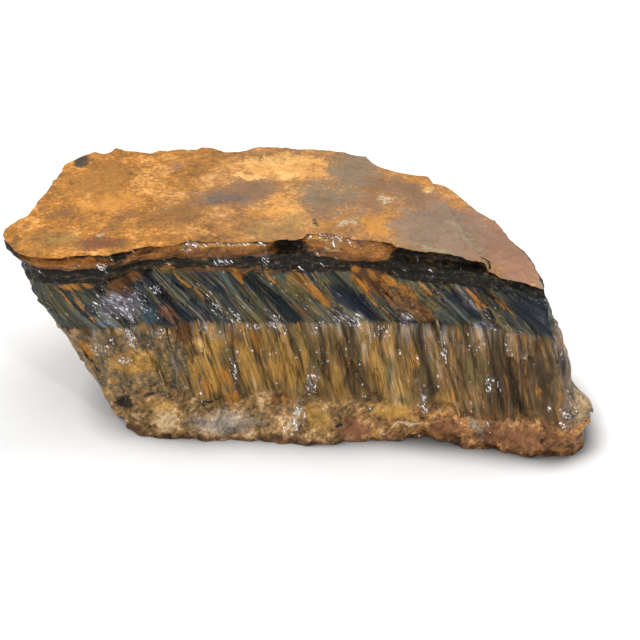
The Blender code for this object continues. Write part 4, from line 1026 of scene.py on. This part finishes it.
def shaded(r, n, c, rock):
    """Painted light and shade, multiplied into the colour: grain of the skin, streaks, painted shade in
    the grooves and hollows, and painted shine of the sides.
    """
    below = r.mix(r.step(n.height, *FIBRE_FOOT), n.crust_light, n.fibre_light)
    side_light = r.mix(n.in_rim, below, n.rim_light)
    n.in_fibres = r.step(n.seam, *FIBRE_FOOT) * (1.0 - n.in_rim) * (
        1.0 - n.grainy * 0.7 - n.on_lump * 0.3)
    # painted shade in the grooves between the fibre bundles
    grooves = r.step(n.groove, 0.0, 0.08) * 0.45 + r.step(n.fine_groove, 0.0, 0.08) * 0.2 + 0.35
    # painted shade in the hollows and painted light on raised bundles and lumps, read from the relief
    side_shade = (side_light * 1.2 + 0.40) * (r.step(n.relief, -1.4, 0.7) * 0.6 + 0.5)
    side_shade = side_shade * (1.0 - n.in_fibres * (1.0 - grooves))
    skin_shade = n.skin_light * 0.42 + n.speck * 0.5 + 0.42
    rock = r.mix(1.0, rock, skin_shade * n.skin + side_shade * n.side, "MULTIPLY")
    # painted sheen: a pale silky shine mixed into the colour along the ridges of the fibres
    shine = r.step(n.streak, 0.52, 0.66) * r.step(n.fold + (n.cloud - 0.5) * 0.8, 0.50, 0.68)
    return r.mix(shine * n.in_fibres * 0.35, rock, rgb(c.painted_sheen))


def glinting(r, n, c, rock):
    """Painted glints: small white highlights painted into the colour, crowded where the rock is wet; also
    gives the slants of their faces.
    """
    jitter = r.moved(n.jitter, (0.5, 0.5, 0.5), "SUBTRACT")
    uneven = r.moved(n.straight, r.scaled(jitter, (1.1, 1.1, 1.6)))
    faces = r.cells(uneven, (2.2, 2.2, 1.2), "Color")
    face_size = r.cells(uneven, (2.2, 2.2, 1.2))
    chance, brightness, _ = r.split(faces)
    on_side = r.step(n.cluster, 0.56, 0.74) * 0.13 + r.step(n.relief, 0.3, 1.3) * 0.07
    crowd = n.glint_mask + n.side * 0.014 + on_side * n.side
    glint = r.step(crowd - chance, 0.0, 0.05) * r.step(face_size, 0.62, 0.34)
    # colours of the painted glints, from mauve-grey to white
    glint_tint = r.ramp(brightness, [
        (0.10, c.glitter), (0.45, (0.62, 0.57, 0.58)), (0.8, (1.0, 0.98, 1.0))])
    n.wet = r.step(crowd, 0.03, 0.35) * n.side
    slants = r.moved(faces, (0.5, 0.5, 0.5), "SUBTRACT")
    n.slants = r.add("ShaderNodeVectorMath", {"operation": "SCALE"},
                     {0: slants, 3: n.wet * 0.8 + n.side * 0.12})
    # the painted glints are mixed into the base colour
    return r.mix(glint, rock, glint_tint)


def rock_material(colours):
    """The whole rock: ochre skin, dark seam, blue and gold fibres and quartz crust."""
    r = Recipe(ROCK_FINISH)
    n = rock_noises(r)
    rock_zones(r, n)
    rock = bare_rock(r, n, colours)
    for layer in (stained, shaded, glinting):
        rock = layer(r, n, colours, rock)
    normal = r.add("ShaderNodeNewGeometry", {}, {}, "Normal")
    tilted = r.add("ShaderNodeVectorMath", {"operation": "NORMALIZE"}, {0: r.moved(normal, n.slants)})
    bump_height = (n.streak * 0.5 + n.hair * 0.3) * n.in_fibres + (n.fine * 0.5 + n.speck * 0.12)
    bump = r.add("ShaderNodeBump", {}, {"Strength": 1.0, "Distance": 0.0007, "Height": bump_height,
                                        "Normal": tilted})
    roughness = n.skin * 0.75 + n.side * 0.40 + (n.fine - 0.5) * 0.3 - n.wet * 0.22
    r.shader.inputs["Coat Roughness"].default_value = 0.08
    r.shader.inputs["Specular IOR Level"].default_value = 0.12
    return r.finish(Base_Color=rock, Roughness=roughness, Normal=bump,
                    Coat_Weight=(n.wet * 0.6 + n.side * 0.06) * ROCK_GLOSS)


# ================================ the stage =======================================================
FLOOR_SIZE = 6.0            # in metres
LIGHTS_AIM = (0.0, 0.0, 0.02)
# each light: name, place and size in metres, power in watts
STUDIO_LIGHTS = (
    ("soft_key", (0.45, 0.45, 1.10), 0.70, 5.0),
    ("front_window", (-0.25, -0.75, 0.75), 0.25, 2.5),
    ("small_spark", (0.15, -0.55, 0.75), 0.05, 0.8),
)
# how far a contact shade reaches, in metres, and how dark it is: share of open sky, brightness
CONTACT_SHADES = (
    (0.010, ((0.50, 0.15), (0.66, 0.34), (0.84, 0.74), (0.98, 1.0))),
    (0.030, ((0.45, 0.88), (0.90, 1.0))),
)
# the point the camera looks at, in millimetres: the stone sits a little left of and above it
CAMERA_AIM = (4.42, -5.16, 22.92)
# where along X, in metres, the shades start to weaken and are weakest, and how much they lose
WEAKER_SHADES = (-0.020, -0.055, 0.6)
PAPER_TONES = (0.90, 0.93)  # darkest and palest


def paper_material():
    """Pale paper, with painted contact shade: a little darker close around the foot of the stone."""
    r = Recipe("pale_paper")
    place = r.add("ShaderNodeTexCoord", {}, {}, "Object")
    tooth = r.noise(place, (60.0, 60.0, 60.0), 3.0)
    paper = r.ramp(tooth, [(0.3, (PAPER_TONES[0],) * 3), (0.7, (PAPER_TONES[1],) * 3)])
    along, _, _ = r.split(place)
    starts, weakest, loss = WEAKER_SHADES
    strength = 1.0 - r.step(along, starts, weakest) * loss
    # painted contact shadow: the floor's colour darkens where little sky reaches it
    for reach, stops in CONTACT_SHADES:
        opening = r.add("ShaderNodeAmbientOcclusion", {"samples": 16}, {"Distance": reach}, "AO")
        shade = r.ramp(opening, [(share, (level,) * 3) for share, level in stops])
        paper = r.mix(strength, paper, shade, "MULTIPLY")
    return r.finish(Base_Color=paper, Roughness=0.9)


# ================================ properties ======================================================
def length(name, text, default, low=0.0, high=200.0):
    return bpy.props.FloatProperty(name=name, description=text, default=default, min=low, max=high)


def colour(name, text, default):
    return bpy.props.FloatVectorProperty(name=name, description=text, default=default, size=3,
                                         subtype="COLOR", min=0.0, max=1.0)


class StoneShape(bpy.types.PropertyGroup):
    """Sizes of the stone, in millimetres."""

    height: length("Height", "Top of the ochre skin over its left two thirds, in mm", 54.0)
    right_drop: length("Right drop", "How far the skin has dropped at its right corner, in mm", 5.0)
    drop_starts: length("Drop starts", "Where along X the drop starts, in mm", 14.0)
    dark_seam: length("Dark seam", "Height of the foot of the ironstone seam, in mm", 45.5)
    crack: length("Crack", "Height of the crack between blue and golden fibres, in mm", 32.3)
    crust: length("Crust", "Height of the top of the quartz crust, in mm", 10.0)
    gold_lean: length("Gold lean", "Lean of the golden fibres, in mm per mm of height", 0.20)
    blue_lean: length("Blue lean", "Lean of the blue fibres, in mm per mm of height", 1.0)
    splinters: bpy.props.IntProperty(
        name="Splinters", description="How many slivers lie on the fibre bands", default=2200, min=1)
    relief: length("Relief", "Strength of the bundles, lumps and layers of the sides", 1.0)


class StoneColours(bpy.types.PropertyGroup):
    """Colours of the rock."""

    ochre: colour("Ochre", "Main colour of the skin", (0.47, 0.190, 0.034))
    orange: colour("Orange", "Bright iron-stained skin", (0.63, 0.275, 0.058))
    golden: colour("Golden", "Golden patches of the skin", (0.78, 0.385, 0.115))
    yellow: colour("Yellow", "Yellowest patches of the skin", (0.90, 0.52, 0.18))
    tan: colour("Tan", "Tan skin", (0.41, 0.185, 0.045))
    brown: colour("Brown", "Brown stains of the skin", (0.28, 0.135, 0.050))
    mauve: colour("Mauve", "Mauve-brown stains of the skin", (0.29, 0.165, 0.095))
    slate: colour("Slate", "Blue-grey stain of the skin", (0.19, 0.145, 0.12))
    # grey and flake: grey of the skin, partly painted sheen at the back right
    grey: colour("Grey", "Grey-brown skin", (0.26, 0.185, 0.115))
    flake: colour("Flake", "The grey flake at the right", (0.30, 0.205, 0.142))
    rust: colour("Rust", "Red-brown stains of the skin", (0.25, 0.10, 0.048))
    pink: colour("Pink", "Pinkish plate at the right", (0.33, 0.18, 0.115))
    olive: colour("Olive", "Olive stains of the skin", (0.38, 0.23, 0.075))
    moss: colour("Moss", "Pale green lip of the flake", (0.36, 0.31, 0.17))
    pale: colour("Pale", "Pale crumbs on the skin", (0.62, 0.48, 0.32))
    # freshly broken rock, and painted shade in a small hole of the skin
    dark: colour("Dark", "Freshly broken dark rock", (0.055, 0.055, 0.045))
    # black rock, also used as painted shade in a notch and in hollows of the front
    black_rock_and_shade: colour("Soot", "Blackest rock", (0.009, 0.008, 0.006))
    dark_seam: colour("Dark seam", "Ironstone of the dark seam", (0.024, 0.019, 0.012))
    umber: colour("Umber", "Brown rock", (0.085, 0.055, 0.025))
    # pale grey rock; also painted sheen below the crack and on glittering spots
    ash_and_sheen: colour("Ash", "Pale grey dust and fibres", (0.30, 0.25, 0.20))
    rust_ledge: colour("Rust ledge", "Orange ledge under the skin", (0.33, 0.130, 0.028))
    navy: colour("Navy", "Deepest blue fibres", (0.014, 0.020, 0.032))
    deep_blue: colour("Deep blue", "Blue patch at the right", (0.022, 0.033, 0.044))
    slate_blue: colour("Slate blue", "Slate-blue fibres", (0.046, 0.053, 0.044))
    teal: colour("Teal", "Blue-green fibres", (0.076, 0.086, 0.067))
    steel: colour("Steel", "Bright blue spot in the glittering hollow", (0.075, 0.12, 0.155))
    glitter: colour("Glitter", "Glittering hollow", (0.17, 0.15, 0.18))
    moss_fibre: colour("Moss fibres", "Olive-green fibres", (0.14, 0.105, 0.036))
    brown_fibre: colour("Brown fibres", "Brown fibres between the gold", (0.185, 0.115, 0.042))
    foot_line: colour("Foot line", "Dark red-brown foot of the crust", (0.085, 0.035, 0.016))
    line: colour("Thin lines", "Thin yellow-olive lines in the blue band", (0.21, 0.165, 0.065))
    brown_band: colour("Brown band", "Olive-brown fibres at the right", (0.098, 0.058, 0.027))
    mauve_band: colour("Mauve band", "Mauve-brown fibres at the right", (0.165, 0.097, 0.054))
    olive_band: colour("Olive band", "Lighter fibres at the right", (0.205, 0.130, 0.052))
    pale_band: colour("Pale band", "Palest fibres at the right", (0.30, 0.195, 0.105))
    dust: colour("Dust", "Pale brown dust on the skin", (0.40, 0.26, 0.15))
    # painted sheen along the ridges of the fibres
    painted_sheen: colour("Silk", "Silky shine along the ridges of the fibres", (0.46, 0.37, 0.33))
    straw: colour("Straw", "Straw-coloured fibres", (0.48, 0.33, 0.16))
    gold_fibre: colour("Gold fibres", "Golden-brown fibres", (0.30, 0.165, 0.038))
    bright_gold: colour("Bright gold", "Brightest golden fibres", (0.42, 0.225, 0.050))
    orange_fibre: colour("Orange fibres", "Iron-stained fibres", (0.42, 0.175, 0.030))
    rusty_fibre: colour("Rusty fibres", "Rust-brown fibres", (0.17, 0.070, 0.022))
    crust: colour("Crust", "Quartz crust", (0.27, 0.145, 0.050))
    cream: colour("Cream", "Palest quartz", (0.47, 0.33, 0.175))
    red_crust: colour("Red crust", "Reddish quartz", (0.22, 0.095, 0.042))


class StageSizes(bpy.types.PropertyGroup):
    """Where the camera stands and how bright the lights are."""

    elevation: bpy.props.FloatProperty(
        name="Elevation", description="How far the camera looks down", default=math.radians(33.0),
        subtype="ANGLE", unit="ROTATION")
    distance: bpy.props.FloatProperty(
        name="Distance", description="From the camera to the stone's middle", default=0.482,
        subtype="DISTANCE", unit="LENGTH")
    lens: bpy.props.FloatProperty(name="Lens", description="Focal length in mm", default=100.0)
    sky: bpy.props.FloatProperty(name="Sky", description="Brightness all round", default=0.95)


# ================================ operators =======================================================
class STONE_OT_grow_stone(bpy.types.Operator):
    """Grows the stone as one closed mesh, with its seams, rims, bundles and lumps"""

    bl_idname = "stone.grow_stone"
    bl_label = "Grow the stone"

    def execute(self, context):
        shape, colours = context.scene.stone_shape, context.scene.stone_colours
        stone = cut_cube("finished_stone")
        grid = read_points(stone.data) + 0.5
        i, j, k = [np.rint(grid[:, axis] * count).astype(int)
                   for axis, count in enumerate((ALONG, ACROSS, sum(ROWS)))]
        points, plain, seam, turn = stone_points(shape, i, j, k)
        write_points(stone.data, points)
        relief = np.where(turn >= 0.0, side_relief(shape, seam, plain), 0.0)
        write_rock_attributes(shape, stone.data, points, plain, seam, turn, relief)
        cut_into_triangles(quad_method="SHORTEST_DIAGONAL")
        bpy.ops.object.shade_smooth_by_angle(angle=math.radians(SMOOTHED_BELOW))
        stone.data.materials.append(rock_material(colours))
        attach(stone, "root")
        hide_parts(NODE)
        return {"FINISHED"}


class STONE_OT_lay_splinters(bpy.types.Operator):
    """Lays loose-edged slivers of fibre over the blue and the golden band"""

    bl_idname = "stone.lay_splinters"
    bl_label = "Lay the splinters"

    def execute(self, context):
        shape = context.scene.stone_shape
        unselect_all()
        bpy.ops.mesh.primitive_uv_sphere_add(segments=5, ring_count=4, radius=1.0)
        sliver = context.active_object
        cut_into_triangles()
        rng = np.random.default_rng(SPLINTER_SEED)
        count = shape.splinters
        in_front = rng.random(count) < SPLINTERS_ON_FRONT
        turn_in_front, turn_behind, seam = [
            lowest + reach * rng.random(count)
            for lowest, reach in (SPLINTER_TURNS_IN_FRONT, SPLINTER_TURNS_BEHIND, SPLINTER_SEAMS)]
        turn = np.where(in_front, turn_in_front, turn_behind)
        seam[np.abs(seam - 2.0) < NEAR_CRACK] -= 2.0 * NEAR_CRACK
        points, axes = surface_frames(shape, turn, seam, SPLINTER_TILT, rng)
        half_length = rng.uniform(*SPLINTER_LENGTH, count)
        half_width = rng.uniform(*SPLINTER_WIDTH, count)
        sizes = np.column_stack((half_width, SPLINTER_THICKNESS * half_width, half_length))
        centres = points - SPLINTER_SUNK * axes[:, 1]
        piece, where = repeat_mesh("fibre_splinters", sliver, centres, axes, sizes)
        each = len(where) // count
        turns, seams = np.repeat(turn, each), np.repeat(seam, each)
        write_rock_attributes(shape, piece.data, np.repeat(points, each, axis=0), where, seams, turns,
                              np.full(len(where), SPLINTER_RELIEF))
        piece.data.materials.append(bpy.data.materials[ROCK_FINISH])
        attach(piece, "root")
        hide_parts(NODE)
        return {"FINISHED"}


class STONE_OT_set_stage(bpy.types.Operator):
    """Sets the pale floor, the soft lights and the camera"""

    bl_idname = "stone.set_stage"
    bl_label = "Set the stage"

    def execute(self, context):
        stage = context.scene.stone_stage
        unselect_all()
        bpy.ops.mesh.primitive_plane_add(size=FLOOR_SIZE)
        floor = context.active_object
        floor.name = "pale_floor"
        floor.data.materials.append(paper_material())
        world = bpy.data.worlds.new("white_room")
        world.use_nodes = True
        sky = world.node_tree.nodes["Background"].inputs
        sky["Color"].default_value = (1.0, 1.0, 1.0, 1.0)
        sky["Strength"].default_value = stage.sky
        context.scene.world = world
        for name, place, size, power in STUDIO_LIGHTS:
            bpy.ops.object.light_add(type="AREA", location=place)
            lamp = context.active_object
            lamp.name = name
            lamp.data.size = size
            lamp.data.energy = power
            beam = Vector(LIGHTS_AIM) - Vector(place)
            lamp.rotation_euler = beam.to_track_quat("-Z", "Y").to_euler()
        forward = Vector((0.0, math.cos(stage.elevation), -math.sin(stage.elevation)))
        aim = (Vector(CAMERA_AIM) - Vector((*CENTRE, 0.0))) * MM
        bpy.ops.object.camera_add(location=aim - forward * stage.distance)
        camera = context.active_object
        camera.name = "main_camera"
        camera.rotation_euler = forward.to_track_quat("-Z", "Y").to_euler()
        camera.data.lens = stage.lens
        camera.data.sensor_width = 36.0
        camera.data.clip_end = 20.0
        context.scene.camera = camera
        context.scene.view_settings.view_transform = "Standard"
        return {"FINISHED"}


class STONE_PT_panel(bpy.types.Panel):
    """The stone's operators, in the order they are used"""

    bl_idname = "STONE_PT_panel"
    bl_label = "Rough tiger's eye"
    bl_space_type = "VIEW_3D"
    bl_region_type = "UI"
    bl_category = "Stone"

    def draw(self, context):
        for name in STONE_STEPS:
            self.layout.operator(f"stone.{name}")


STONE_STEPS = ("grow_stone", "lay_splinters", "set_stage")
CLASSES = (StoneShape, StoneColours, StageSizes, STONE_OT_grow_stone, STONE_OT_lay_splinters,
           STONE_OT_set_stage, STONE_PT_panel)


def register():
    for item in CLASSES:
        bpy.utils.register_class(item)
    bpy.types.Scene.stone_shape = bpy.props.PointerProperty(type=StoneShape)
    bpy.types.Scene.stone_colours = bpy.props.PointerProperty(type=StoneColours)
    bpy.types.Scene.stone_stage = bpy.props.PointerProperty(type=StageSizes)


def unregister():
    del bpy.types.Scene.stone_stage
    del bpy.types.Scene.stone_colours
    del bpy.types.Scene.stone_shape
    for item in reversed(CLASSES):
        bpy.utils.unregister_class(item)


def main():
    register()
    for name in STONE_STEPS:
        getattr(bpy.ops.stone, name)()


if __name__ == "__main__":
    main()
